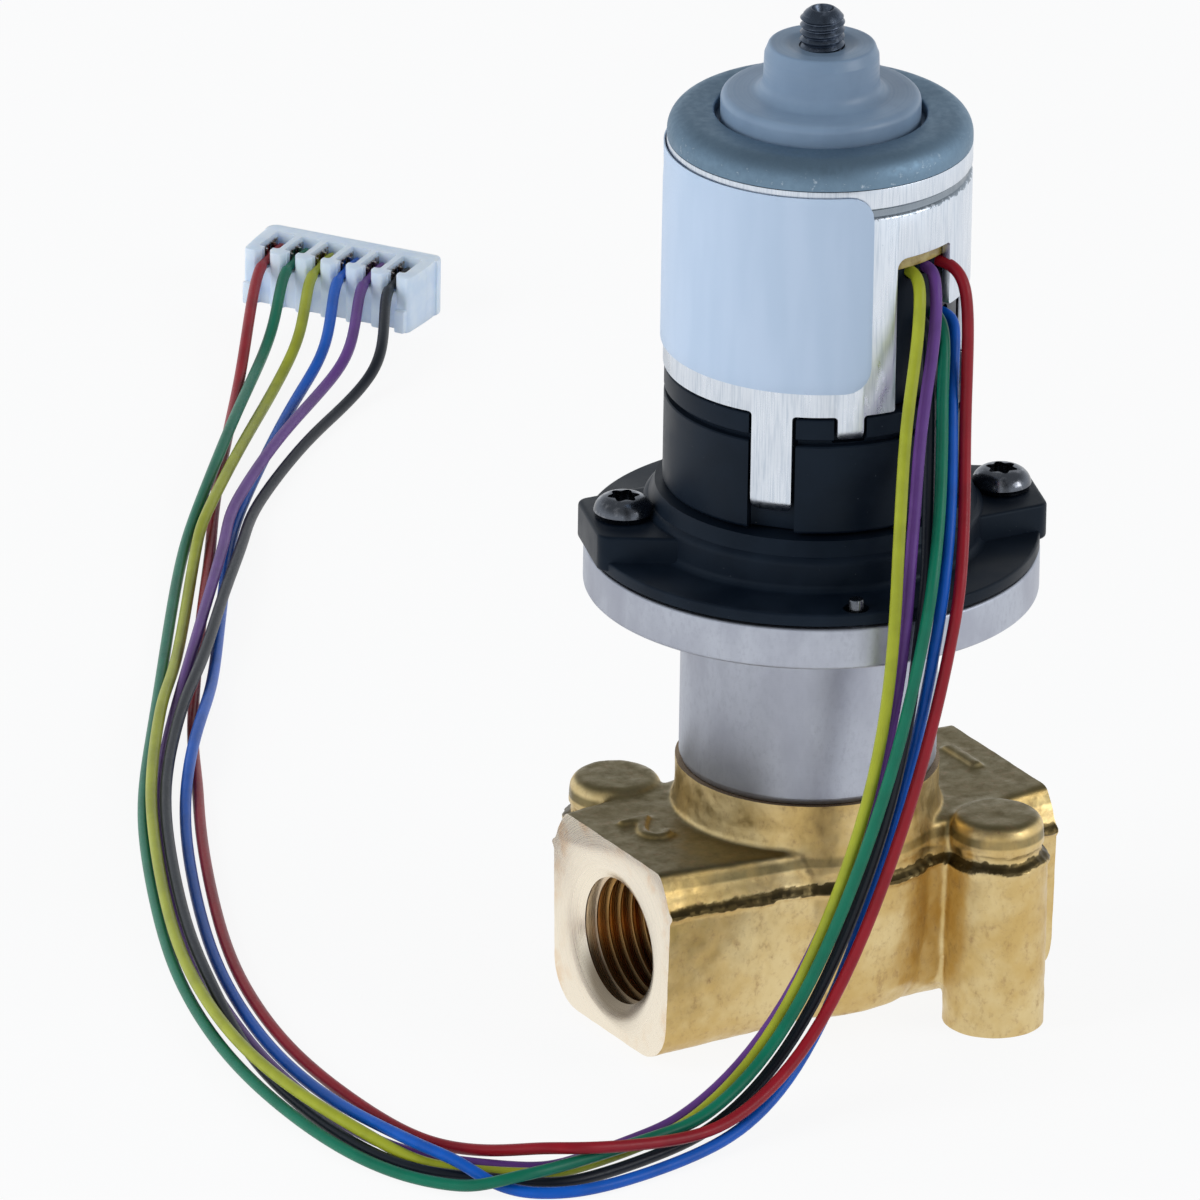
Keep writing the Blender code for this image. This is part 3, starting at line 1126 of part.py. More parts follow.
def make_connector(plastic, tin):
    """The six-way connector lying flat: pockets open to the rear and top, sockets in the mating face."""
    length = (CONNECTOR_WAYS - 1) * CONNECTOR_PITCH + 2.0 * CONNECTOR_END
    size = (length, CONNECTOR_DEPTH, CONNECTOR_HEIGHT)
    centre = in_connector((0.0, 0.0, CONNECTOR_HEIGHT / 2.0))
    housing = block("connector_housing", size, centre, plastic, CONNECTOR_TURN)
    bevel = housing.modifiers.new("edges", "BEVEL")
    bevel.width = CONNECTOR_BEVEL
    bevel.segments = 2
    rear = -CONNECTOR_DEPTH / 2.0
    pocket_high = CONNECTOR_HEIGHT + 1.0 * MM
    for i in range(CONNECTOR_WAYS):
        across = (i - (CONNECTOR_WAYS - 1) / 2.0) * CONNECTOR_PITCH
        pocket_size = (POCKET_WIDTH, POCKET_LENGTH + 1.0 * MM, pocket_high - POCKET_FLOOR_Z)
        pocket_y = rear + (POCKET_LENGTH - 1.0 * MM) / 2.0
        pocket_z = (pocket_high + POCKET_FLOOR_Z) / 2.0
        pocket_place = in_connector((across, pocket_y, pocket_z))
        combine(housing, block(f"pocket_{i}", pocket_size, pocket_place, turn=CONNECTOR_TURN))
        socket_size = (SOCKET_SIZE, SOCKET_DEPTH + 1.0 * MM, SOCKET_SIZE)
        socket_y = -rear - (SOCKET_DEPTH - 1.0 * MM) / 2.0
        socket_centre = in_connector((across, socket_y, SOCKET_Z))
        combine(housing, block(f"socket_{i}", socket_size, socket_centre, turn=CONNECTOR_TURN))

        low = POCKET_FLOOR_Z + TRIM_GAP
        middle_y = rear + 0.8 * MM + TERMINAL_LENGTH / 2.0
        terminal_size = (TERMINAL_WIDTH, TERMINAL_LENGTH, TERMINAL_HEIGHT)
        terminal_centre = in_connector((across, middle_y, low + TERMINAL_HEIGHT / 2.0))
        terminal = block(f"terminal_{i + 1}", terminal_size, terminal_centre, tin, CONNECTOR_TURN)
        channel_size = (TERMINAL_WIDTH - 2.0 * TERMINAL_WALL, TERMINAL_LENGTH + 1.0 * MM, TERMINAL_HEIGHT)
        channel_centre = in_connector((across, middle_y, low + TERMINAL_HEIGHT / 2.0 + TERMINAL_WALL))
        channel = block(f"channel_{i}", channel_size, channel_centre, turn=CONNECTOR_TURN)
        notch_size = (TERMINAL_WIDTH + 1.0 * MM, TERMINAL_NOTCH, TERMINAL_HEIGHT)
        notch_centre = in_connector((across, middle_y, low + TERMINAL_HEIGHT * 0.5 + 0.4 * MM))
        combine(terminal, channel)
        combine(terminal, block(f"notch_{i}", notch_size, notch_centre, turn=CONNECTOR_TURN))


def smooth_route(points):
    """Points on the smooth curve that follows a lead's route, from millimetres to metres."""
    route = [Vector(point) * MM for point in points]
    route = [2.0 * route[0] - route[1]] + route + [2.0 * route[-1] - route[-2]]
    smooth = []
    for p0, p1, p2, p3 in zip(route, route[1:], route[2:], route[3:]):
        for t in LEAD_STEPS:
            w0 = (1.0 - t) ** 3 / 6.0
            w1 = (3.0 * t**3 - 6.0 * t**2 + 4.0) / 6.0
            w2 = (-3.0 * t**3 + 3.0 * t**2 + 3.0 * t + 1.0) / 6.0
            w3 = t**3 / 6.0
            smooth.append(p0 * w0 + p1 * w1 + p2 * w2 + p3 * w3)
    smooth.append(route[-2])
    return smooth


def make_leads():
    """The six leads, from the window down over the disc's edge and along the surface to the connector."""
    for name, points in LEADS.items():
        wire(name, smooth_route(points), LEAD_R, finish(name, LEAD_COLOURS[name], 0.5, 0.0))


def main():
    """Build every piece."""
    clear_scene()
    brass = finish("forged_brass", (0.62, 0.45, 0.17), 0.42, 1.0)
    make_body(brass)
    make_seat(finish("seat_steel", (0.6, 0.6, 0.62), 0.3, 1.0))
    make_tube(finish("turned_steel", (0.55, 0.55, 0.58), 0.35, 1.0))
    make_plunger(
        finish("plunger_steel", (0.58, 0.58, 0.6), 0.3, 1.0),
        finish("seal_rubber", (0.03, 0.03, 0.03), 0.8, 0.0),
        finish("bush_bronze", (0.6, 0.42, 0.25), 0.4, 1.0),
        finish("spring_steel", (0.5, 0.5, 0.52), 0.35, 1.0),
    )
    black = finish("black_plastic", (0.02, 0.02, 0.022), 0.45, 0.0)
    make_motor_flange(black)
    make_flange_fasteners(finish("screw_steel", (0.6, 0.6, 0.6), 0.3, 1.0))
    make_rotor(
        finish("rotor_plastic", (0.75, 0.74, 0.7), 0.5, 0.0),
        finish("ferrite", (0.06, 0.06, 0.065), 0.6, 0.0),
        finish("spindle_steel", (0.08, 0.08, 0.085), 0.4, 1.0),
        finish("bearing_bronze", (0.55, 0.38, 0.22), 0.45, 1.0),
    )
    make_coils(
        finish("pole_iron", (0.45, 0.46, 0.48), 0.4, 1.0),
        finish("bobbin_plastic", (0.1, 0.1, 0.11), 0.5, 0.0),
        finish("copper_winding", (0.62, 0.3, 0.16), 0.35, 1.0),
    )
    make_front_housing(black)
    steel = finish("plated_steel", (0.62, 0.66, 0.72), 0.3, 1.0)
    make_can(steel)
    make_end_plate(steel)
    make_label(finish("label_film", (0.85, 0.86, 0.88), 0.4, 0.0))
    make_top_bush(finish("grey_plastic", (0.3, 0.34, 0.38), 0.45, 0.0))
    make_terminal_block(black, finish("amber_film", (0.6, 0.3, 0.05), 0.35, 0.0))
    make_connector(
        finish("nylon", (0.8, 0.84, 0.9), 0.4, 0.0),
        finish("tinned_bronze", (0.7, 0.7, 0.7), 0.25, 1.0),
    )
    make_leads()


main()
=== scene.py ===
"""Dresses the motor-driven brass valve: fine shapes, finishes, leads, camera and light.

Pieces are modelled in millimetres in the part's own frame and written to meshes in metres.
"""

import json
import logging
import math
from dataclasses import dataclass, field
from enum import Enum
from typing import Any, Sequence

import bmesh
import bpy
from mathutils import Matrix, Vector, noise


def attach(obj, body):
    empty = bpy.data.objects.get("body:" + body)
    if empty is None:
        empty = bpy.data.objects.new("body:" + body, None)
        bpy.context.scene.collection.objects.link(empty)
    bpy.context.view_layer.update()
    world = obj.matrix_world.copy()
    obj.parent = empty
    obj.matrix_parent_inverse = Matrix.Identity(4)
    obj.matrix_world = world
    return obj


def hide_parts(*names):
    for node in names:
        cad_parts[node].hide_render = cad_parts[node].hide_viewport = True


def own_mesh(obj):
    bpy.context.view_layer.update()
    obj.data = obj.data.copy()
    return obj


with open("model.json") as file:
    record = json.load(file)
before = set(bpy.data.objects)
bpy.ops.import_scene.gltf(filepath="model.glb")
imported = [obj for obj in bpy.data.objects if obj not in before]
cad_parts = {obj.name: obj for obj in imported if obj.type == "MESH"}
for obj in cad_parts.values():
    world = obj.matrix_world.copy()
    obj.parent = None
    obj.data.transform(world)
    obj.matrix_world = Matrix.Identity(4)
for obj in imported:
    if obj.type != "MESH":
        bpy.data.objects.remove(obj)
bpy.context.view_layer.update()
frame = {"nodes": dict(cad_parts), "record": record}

log = logging.getLogger("valve")

MM = 0.001
Point = tuple[float, float, float]
Corner = tuple[float, float, float]
Colour = tuple[float, float, float]
Profile = list[tuple[float, float]]
Solid = bmesh.types.BMesh
Piece = bpy.types.Object
Socket = bpy.types.NodeSocket

# The camera's place and aim, found from the photograph's own geometry
CAMERA_PLACE = Vector((-714.45, -1124.83, 591.29))
CAMERA_FORWARD = Vector((0.48579, 0.78267, -0.38914))
CAMERA_UP = Vector((0.19091, 0.33945, 0.92105))
CAMERA_LENS = 660.0
CAMERA_SENSOR = 36.0

# The motor's straps and tabs as (angle, half its width in degrees), the height of the can's groove, and
# where the flange's ears and pin are as angles and reach
STRAPS = ((-138.6, 8.0), (41.4, 8.0))
TABS = ((-108.5, 5.1), (71.5, 5.1))
GROOVE = 59.75
EAR_TURNS = (-18.5, 161.5)
EAR_REACH = 12.75
PIN_TURN = -110.1
PIN_REACH = 13.95

SMOOTH_ANGLE = 32.0
FINE = 160
ROUND = 96
SMALL = 48


class Body(Enum):
    """The bodies of the part that pieces ride on."""

    VALVE = "valve"
    SPINDLE = "spindle"


class Cut(Enum):
    """How one solid acts on another."""

    TAKE = "DIFFERENCE"
    JOIN = "UNION"
    MEET = "INTERSECT"


Step = tuple[Solid, Cut]


# Shapes


def turned(angle: float, reach: float, height: float = 0.0) -> Vector:
    """The point at a reach and an angle in degrees about the axis.

    Args:
        angle: Angle from +X, counter-clockwise seen from above.
        reach: Distance from the axis.
        height: Height of the point.

    Returns:
        The point.
    """
    turn = math.radians(angle)
    return Vector((reach * math.cos(turn), reach * math.sin(turn), height))


def arc(centre: tuple[float, float], radius: float, start: float, end: float, steps: int) -> Profile:
    """Points on an arc in a flat outline or a profile.

    Args:
        centre: Centre of the arc.
        radius: Its radius.
        start: First angle, in degrees.
        end: Last angle, in degrees.
        steps: Number of segments.

    Returns:
        The points, ends included.
    """
    points = []
    for i in range(steps + 1):
        turn = math.radians(start + (end - start) * i / steps)
        points.append((centre[0] + radius * math.cos(turn), centre[1] + radius * math.sin(turn)))
    return points


def filleted(corners: Sequence[Corner], steps: int = 6, closed: bool = True) -> Profile:
    """An outline with an arc at each corner that has a radius.

    Args:
        corners: (x, y, radius) of each corner in turn.
        steps: Segments in each arc.
        closed: Whether the last corner joins the first.

    Returns:
        The outline's points.
    """
    outline: Profile = []
    last = len(corners) - 1
    for i, (x, y, radius) in enumerate(corners):
        at_end = not closed and i in (0, last)
        if radius == 0.0 or at_end:
            outline.append((x, y))
            continue
        here = Vector((x, y))
        back = (Vector(corners[i - 1][:2]) - here).normalized()
        on = (Vector(corners[(i + 1) % len(corners)][:2]) - here).normalized()
        half = back.angle(on) / 2.0
        middle = here + (back + on).normalized() * (radius / math.sin(half))
        first = here + back * (radius / math.tan(half)) - middle
        final = here + on * (radius / math.tan(half)) - middle
        sweep = first.angle_signed(final)
        for k in range(steps + 1):
            point = middle + Matrix.Rotation(-sweep * k / steps, 2) @ first
            outline.append((point.x, point.y))
    return outline


def spun(profile: Profile, steps: int = FINE) -> Solid:
    """A solid turned about the axis.

    Args:
        profile: (radius, height) points. Unless both ends lie on the axis, the last joins the first.
        steps: Segments round the axis.

    Returns:
        The closed solid.
    """
    bm = bmesh.new()
    verts = [bm.verts.new((radius, 0.0, height)) for radius, height in profile]
    edges = [bm.edges.new(pair) for pair in zip(verts, verts[1:])]
    if profile[0][0] > 0.0 or profile[-1][0] > 0.0:
        edges.append(bm.edges.new((verts[-1], verts[0])))
    bmesh.ops.spin(
        bm, geom=verts + edges, cent=(0, 0, 0), axis=(0, 0, 1), dvec=(0, 0, 0),
        angle=math.tau, steps=steps, use_merge=True,
    )
    bmesh.ops.remove_doubles(bm, verts=bm.verts, dist=0.0005)
    bmesh.ops.recalc_face_normals(bm, faces=bm.faces)
    return bm


def raised(outline: Profile, low: float, high: float) -> Solid:
    """A flat outline carried straight up.

    Args:
        outline: (x, y) points in turn.
        low: Height of the underside.
        high: Height of the top.

    Returns:
        The closed solid.
    """
    bm = bmesh.new()
    base = bm.faces.new([bm.verts.new((x, y, low)) for x, y in outline])
    grown = bmesh.ops.extrude_face_region(bm, geom=[base])
    moved = [item for item in grown["geom"] if isinstance(item, bmesh.types.BMVert)]
    bmesh.ops.translate(bm, vec=Vector((0, 0, high - low)), verts=moved)
    bmesh.ops.recalc_face_normals(bm, faces=bm.faces)
    return bm


def sector(inner: float, outer: float, start: float, end: float, low: float, high: float) -> Solid:
    """A piece of a ring between two angles.

    Args:
        inner: Inner radius.
        outer: Outer radius.
        start: First angle, in degrees.
        end: Last angle, in degrees.
        low: Height of the underside.
        high: Height of the top.

    Returns:
        The closed solid.
    """
    steps = max(2, math.ceil((end - start) / 3.0))
    outline = arc((0.0, 0.0), outer, start, end, steps) + arc((0.0, 0.0), inner, end, start, steps)
    return raised(outline, low, high)


def slab(size: Sequence[float], centre: Sequence[float], turn: float = 0.0) -> Solid:
    """A box of a size about its centre, turned about Z by an angle in degrees.

    Args:
        size: Length, width and height.
        centre: Its centre.
        turn: Angle in degrees.

    Returns:
        The box.
    """
    bm = bmesh.new()
    bmesh.ops.create_cube(bm, size=1.0)
    bmesh.ops.scale(bm, vec=Vector(size), verts=bm.verts)
    bmesh.ops.rotate(bm, cent=(0, 0, 0), matrix=Matrix.Rotation(math.radians(turn), 3, "Z"), verts=bm.verts)
    bmesh.ops.translate(bm, vec=Vector(centre), verts=bm.verts)
    return bm


def rod(radius: float, start: Sequence[float], end: Sequence[float], steps: int = SMALL) -> Solid:
    """A cylinder between two points.

    Args:
        radius: Its radius.
        start: Centre of one end.
        end: Centre of the other end.
        steps: Corners round it.

    Returns:
        The cylinder.
    """
    first = Vector(start)
    along = Vector(end) - first
    bm = bmesh.new()
    bmesh.ops.create_cone(
        bm, cap_ends=True, segments=steps, radius1=radius, radius2=radius, depth=along.length
    )
    bmesh.ops.rotate(bm, cent=(0, 0, 0), matrix=along.to_track_quat("Z", "Y").to_matrix(), verts=bm.verts)
    bmesh.ops.translate(bm, vec=first + along / 2.0, verts=bm.verts)
    return bm


def softened(bm: Solid, width: float, angle: float = 40.0, segments: int = 2) -> Solid:
    """Rounds every edge that is sharper than an angle.

    Args:
        bm: The solid, which is changed.
        width: Width of the rounding.
        angle: Least angle between two faces, in degrees.
        segments: Faces across the rounding.

    Returns:
        The same solid.
    """
    least = math.radians(angle)
    sharp = [edge for edge in bm.edges if len(edge.link_faces) == 2 and edge.calc_face_angle() > least]
    bmesh.ops.bevel(
        bm, geom=sharp, offset=width, segments=segments, profile=0.5, affect="EDGES", material=-1,
        clamp_overlap=True,
    )
    return bm


def moved(bm: Solid, matrix: Matrix) -> Solid:
    """Carries a solid by a matrix and returns it."""
    bmesh.ops.transform(bm, matrix=matrix, verts=bm.verts)
    return bm


def placed(bm: Solid, place: Sequence[float], turn: float = 0.0) -> Solid:
    """Turns a solid about Z by an angle in degrees, carries it to its place and returns it."""
    return moved(bm, Matrix.Translation(place) @ Matrix.Rotation(math.radians(turn), 4, "Z"))


def split(bm: Solid, place: Sequence[float], normal: Sequence[float], near: float = 0.0) -> None:
    """Divides the faces that a plane crosses; corners nearer to it than near count as on it."""
    geom = bm.verts[:] + bm.edges[:] + bm.faces[:]
    bmesh.ops.bisect_plane(bm, geom=geom, plane_co=place, plane_no=normal, dist=near)


def take(*solids: Solid) -> list[Step]:
    """Steps that cut each solid away."""
    return [(solid, Cut.TAKE) for solid in solids]


def join(*solids: Solid) -> list[Step]:
    """Steps that add each solid."""
    return [(solid, Cut.JOIN) for solid in solids]


def combined(bm: Solid, steps: Sequence[Step]) -> Solid:
    """Cuts and joins other solids into one, in turn.

    Args:
        bm: The first solid, which is used up.
        steps: Each other solid, which is used up, and how it acts.

    Returns:
        The result.
    """
    made = loose(bm)
    tools = []
    for other, cut in steps:
        tool = loose(other)
        tools.append(tool)
        modifier = made.modifiers.new("cut", "BOOLEAN")
        modifier.operation = cut.value
        modifier.solver = "MANIFOLD"
        modifier.object = tool
    result = settled(made)
    for tool in tools:
        bpy.data.objects.remove(tool, do_unlink=True)
    return result


def linked(name: str, data: bpy.types.ID) -> Piece:
    """An object in the scene that shows a mesh, a curve, a camera or a lamp.

    Args:
        name: Its name.
        data: What it shows.

    Returns:
        The object.
    """
    made = bpy.data.objects.new(name, data)
    bpy.context.scene.collection.objects.link(made)
    return made


def meshed(name: str, bm: Solid) -> bpy.types.Mesh:
    """A mesh from a solid that is used up.

    Args:
        name: Its name.
        bm: The solid.

    Returns:
        The mesh.
    """
    mesh = bpy.data.meshes.new(name)
    bm.to_mesh(mesh)
    bm.free()
    return mesh


def loose(bm: Solid) -> Piece:
    """A passing object for modifiers to work on, from a solid that is used up."""
    return linked("passing", meshed("passing", bm))


def settled(item: Piece) -> Solid:
    """The solid that a passing object's modifiers or curve give. The object is removed.

    Args:
        item: The passing object.

    Returns:
        The solid.
    """
    bpy.context.view_layer.update()
    mesh = bpy.data.meshes.new_from_object(item.evaluated_get(bpy.context.evaluated_depsgraph_get()))
    bm = bmesh.new()
    bm.from_mesh(mesh)
    bpy.data.objects.remove(item, do_unlink=True)
    return bm


def publish(
    name: str,
    bm: Solid,
    finish: "Finish",
    body: Body = Body.VALVE,
    stands_for: Sequence[str] = (),
    smooth: float = SMOOTH_ANGLE,
    second: "Finish | None" = None,
) -> Piece:
    """Writes a solid in millimetres as a finished piece in metres.

    Args:
        name: Name of the piece.
        bm: Its solid, which is used up.
        finish: Its finish.
        body: The body that it rides on.
        stands_for: CAD nodes that it replaces.
        smooth: Edges sharper than this many degrees stay sharp.
        second: Finish of the faces whose material number is 1.

    Returns:
        The piece.
    """
    bmesh.ops.scale(bm, vec=Vector((MM, MM, MM)), verts=bm.verts)
    for face in bm.faces:
        face.smooth = True
        face.material_index = face.material_index if second is not None else 0
    for edge in bm.edges:
        edge.smooth = len(edge.link_faces) != 2 or edge.calc_face_angle() < math.radians(smooth)
    mesh = meshed(name, bm)
    mesh.materials.append(finish.material())
    if second is not None:
        mesh.materials.append(second.material())
    made = linked(name, mesh)
    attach(made, body.value)
    if stands_for:
        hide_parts(*stands_for)
    log.info("%s: %d faces", name, len(mesh.polygons))
    return made


# Finishes


class Graph:
    """Adds nodes to a material's or a world's tree."""

    def __init__(self, tree: bpy.types.NodeTree):
        """Takes the tree.

        Args:
            tree: The node tree to add to.
        """
        self.tree = tree

    def node(self, kind: str, inputs: dict[Any, Any], **settings: Any) -> bpy.types.Node:
        """Adds a node.

        Args:
            kind: Type of the node.
            inputs: Value or socket for each input, by name or number.
            **settings: Properties of the node.

        Returns:
            The node.
        """
        made = self.tree.nodes.new(kind)
        for key, value in settings.items():
            setattr(made, key, value)
        for key, value in inputs.items():
            if isinstance(value, bpy.types.NodeSocket):
                self.tree.links.new(value, made.inputs[key])
            else:
                made.inputs[key].default_value = value
        return made

    def maths(self, operation: str, first: Any, second: Any = 0.0, clamp: bool = False) -> Socket:
        """An operation on two numbers."""
        inputs = {0: first, 1: second}
        return self.node("ShaderNodeMath", inputs, operation=operation, use_clamp=clamp).outputs[0]

    def ramp(self, value: Socket, low: float, high: float, first: float = 0.0, last: float = 1.0) -> Socket:
        """Maps a value smoothly from a range to another."""
        inputs = {0: value, 1: low, 2: high, 3: first, 4: last}
        return self.node("ShaderNodeMapRange", inputs, interpolation_type="SMOOTHSTEP").outputs[0]

    def tint(self, share: Any, first: Any, second: Any, mode: str = "MIX") -> Socket:
        """Mixes two colours.

        Args:
            share: Share of the second, from 0 to 1.
            first: First colour or its socket.
            second: Second colour or its socket.
            mode: How they mix.

        Returns:
            The colour.
        """
        colours = [(*each, 1.0) if isinstance(each, tuple) else each for each in (first, second)]
        inputs = {0: share, 6: colours[0], 7: colours[1]}
        return self.node("ShaderNodeMix", inputs, data_type="RGBA", blend_type=mode).outputs[2]

    def seen(self) -> Socket:
        """1 where the camera, a mirror or clear stuff looks straight at the surface, and 0 for its light.

        Returns:
            The value.
        """
        path = self.node("ShaderNodeLightPath", {})
        first = self.maths("MAXIMUM", path.outputs["Is Camera Ray"], path.outputs["Is Glossy Ray"])
        return self.maths("MAXIMUM", first, path.outputs["Is Transmission Ray"])


class Recipe(Graph):
    """Builds a Principled material from nodes that read the piece's own coordinates in millimetres."""

    def __init__(self, name: str, colour: Colour, roughness: float, metallic: float):
        """Starts a material.

        Args:
            name: Name of the material.
            colour: Base colour.
            roughness: Roughness.
            metallic: Metallic.
        """
        self.material = bpy.data.materials.new(name)
        self.material.use_nodes = True
        super().__init__(self.material.node_tree)
        self.shader = self.tree.nodes["Principled BSDF"]
        self.fix(Base_Color=(*colour, 1.0), Roughness=roughness, Metallic=metallic)
        coordinates = self.tree.nodes.new("ShaderNodeTexCoord")
        self.place = self.vector("SCALE", coordinates.outputs["Object"], Scale=1.0 / MM)

    def vector(self, operation: str, first: Any, second: Any = None, **named: Any) -> Socket:
        """A vector operation on one or two vectors.

        Args:
            operation: Its name in the Vector Math node.
            first: First vector.
            second: Second vector, or a constant.
            **named: Further sockets, by name.

        Returns:
            The resulting vector.
        """
        inputs = {0: first, **named}
        if second is not None:
            inputs[1] = second
        return self.node("ShaderNodeVectorMath", inputs, operation=operation).outputs[0]

    def parts(self, vector: Socket | None = None) -> bpy.types.NodeOutputs:
        """X, Y and Z of a vector, or of the place in millimetres where none is given."""
        return self.node("ShaderNodeSeparateXYZ", {0: vector or self.place}).outputs

    def height(self) -> Socket:
        """The height above the part's feet, in millimetres."""
        return self.parts()["Z"]

    def facing_up(self) -> Socket:
        """How far the surface faces up, 1 where it is level."""
        return self.parts(self.node("ShaderNodeNewGeometry", {}).outputs["Normal"])["Z"]

    def around(self) -> Socket:
        """A place for turned pieces: distance from the axis and height, so patterns become rings.

        Returns:
            The place, with its distance as X and its height as Z.
        """
        parts = self.parts()
        flat = self.node("ShaderNodeCombineXYZ", {0: parts["X"], 1: parts["Y"]}).outputs[0]
        length = self.node("ShaderNodeVectorMath", {0: flat}, operation="LENGTH").outputs["Value"]
        return self.node("ShaderNodeCombineXYZ", {0: length, 2: parts["Z"]}).outputs[0]

    def noise(
        self, size: float, detail: float = 3.0, roughness: float = 0.55,
        stretch: Sequence[float] = (1.0, 1.0, 1.0), place: Socket | None = None, distortion: float = 0.0,
    ) -> Socket:
        """Noise whose features are about a size in millimetres across.

        Args:
            size: Size of the features.
            detail: Number of finer octaves.
            roughness: Strength of the finer octaves.
            stretch: How much longer the features are along X, Y and Z.
            place: Coordinates to read instead of the piece's own.
            distortion: Swirl.

        Returns:
            A value from 0 to 1.
        """
        scale = tuple(1.0 / (size * each) for each in stretch)
        mapped = self.vector("MULTIPLY", place or self.place, scale)
        inputs = {
            "Vector": mapped, "Scale": 1.0, "Detail": detail,
            "Roughness": roughness, "Distortion": distortion,
        }
        return self.node("ShaderNodeTexNoise", inputs).outputs["Fac"]

    def bump(
        self, height: Socket, depth: float, strength: float = 1.0, under: Socket | None = None
    ) -> Socket:
        """Bump from a height.

        Args:
            height: The height, from 0 to 1.
            depth: Depth in millimetres that 1 stands for.
            strength: Strength.
            under: Another bump that this one is laid over.

        Returns:
            The normal.
        """
        inputs = {"Height": height, "Distance": depth * MM, "Strength": strength}
        if under is not None:
            inputs["Normal"] = under
        return self.node("ShaderNodeBump", inputs).outputs[0]

    def fix(self, **values: Any) -> None:
        """Sets the shader's inputs, with underscores for spaces in their names."""
        for key, value in values.items():
            self.shader.inputs[key.replace("_", " ")].default_value = value

    def put(self, **sockets: Socket) -> None:
        """Links sockets to the shader's inputs, with underscores for spaces in their names."""
        for key, socket in sockets.items():
            self.tree.links.new(socket, self.shader.inputs[key.replace("_", " ")])


@dataclass(frozen=True)
class Finish:
    """A finish's name, and the colour, roughness and metal share that the shader has where nothing varies."""

    name: str
    colour: Colour
    roughness: float
    metallic: float = 0.0

    def material(self) -> bpy.types.Material:
        """The finish's material, made once and then shared.

        Returns:
            The material.
        """
        found = bpy.data.materials.get(self.name)
        if found:
            return found
        mix = Recipe(self.name, self.colour, self.roughness, self.metallic)
        self.lay(mix)
        return mix.material

    def lay(self, mix: Recipe) -> None:
        """Adds the finish's own pattern to a material.

        Args:
            mix: The material that is being made.
        """

    def gloss(self, mix: Recipe, grain: Socket, less: float, more: float, low: float = 0.3) -> Socket:
        """Roughness that a grain varies about the plain one.

        Args:
            mix: The material.
            grain: The grain, from 0 to 1.
            less: How far the roughness falls.
            more: How far it rises.
            low: Grain where it is lowest; it is highest at 1 less this.

        Returns:
            The roughness.
        """
        return mix.ramp(grain, low, 1.0 - low, self.roughness - less, self.roughness + more)


@dataclass(frozen=True)
class ForgedBrass(Finish):
    """Hot-forged, tumbled brass: golden sides, painted shade on what faces up and just under the top edge,
    painted shade along the ledge where the dies met, stains and hollows.
    """

    name: str = "forged brass"
    colour: Colour = (0.6, 0.42, 0.16)
    roughness: float = 0.36
    metallic: float = 1.0
    # The next two colours are painted shade: the first darkens what faces up and a band under the top edge,
    # the second darkens the ledge where the dies met.
    top_shade: Colour = (0.13, 0.11, 0.05)
    seam: Colour = (0.05, 0.036, 0.014)
    stain: Colour = (0.33, 0.19, 0.1)
    pale: Colour = (0.76, 0.62, 0.34)

    def lay(self, mix: Recipe) -> None:
        """Lays stains, painted shade on what faces up and in a band under the top edge, painted shade along
        the ledge where the dies met, and the skin's fine pits.

        Args:
            mix: The material that is being made.
        """
        cloud = mix.noise(5.0, 4.0, 0.6)
        speck = mix.noise(0.9, 6.0, 0.7, stretch=(1.0, 1.0, 1.6))
        pits = mix.noise(0.28, 5.0, 0.65)
        tone = mix.tint(mix.ramp(cloud, 0.35, 0.7, 0.0, 0.8), self.colour, self.pale)
        tone = mix.tint(mix.ramp(speck, 0.55, 0.75, 0.0, 0.55), tone, self.stain)
        # Painted shade: what faces up is darkened, as if the light came only from the sides and below.
        tone = mix.tint(mix.ramp(mix.facing_up(), 0.55, 0.95, 0.0, 0.85), tone, self.top_shade)
        flash_shade = mix.node("ShaderNodeAttribute", {}, attribute_name="flash_shade").outputs["Fac"]
        grit = mix.noise(0.55, 6.0, 0.75)
        tone = mix.tint(mix.ramp(grit, 0.5, 0.75, 0.0, 0.45), tone, self.stain)
        # Painted shade: the band marked on the mesh along the ledge where the dies met is darkened, with a
        # ragged edge.
        ragged = mix.maths("MULTIPLY", flash_shade, mix.ramp(grit, 0.3, 0.6, 0.75, 1.1))
        tone = mix.tint(mix.ramp(ragged, 0.2, 0.6, 0.0, 0.9), tone, self.seam)
        rough = mix.ramp(speck, 0.3, 0.75, self.roughness - 0.06, self.roughness + 0.2)
        # Painted shade: a dark band just under the bar's top edge stands in for the rounded edge's dark
        # reflection.
        above, below = mix.ramp(mix.height(), 13.3, 13.5), mix.ramp(mix.height(), 13.85, 14.2, 1.0, 0.0)
        rim = mix.maths("MULTIPLY", above, below)
        tone = mix.tint(mix.maths("MULTIPLY", rim, mix.ramp(cloud, 0.35, 0.6, 0.35, 0.8)), tone, self.top_shade)
        relief = mix.bump(pits, 0.016, 0.6, under=mix.bump(cloud, 0.04, 0.5))
        mix.put(Base_Color=tone, Roughness=rough, Normal=relief)


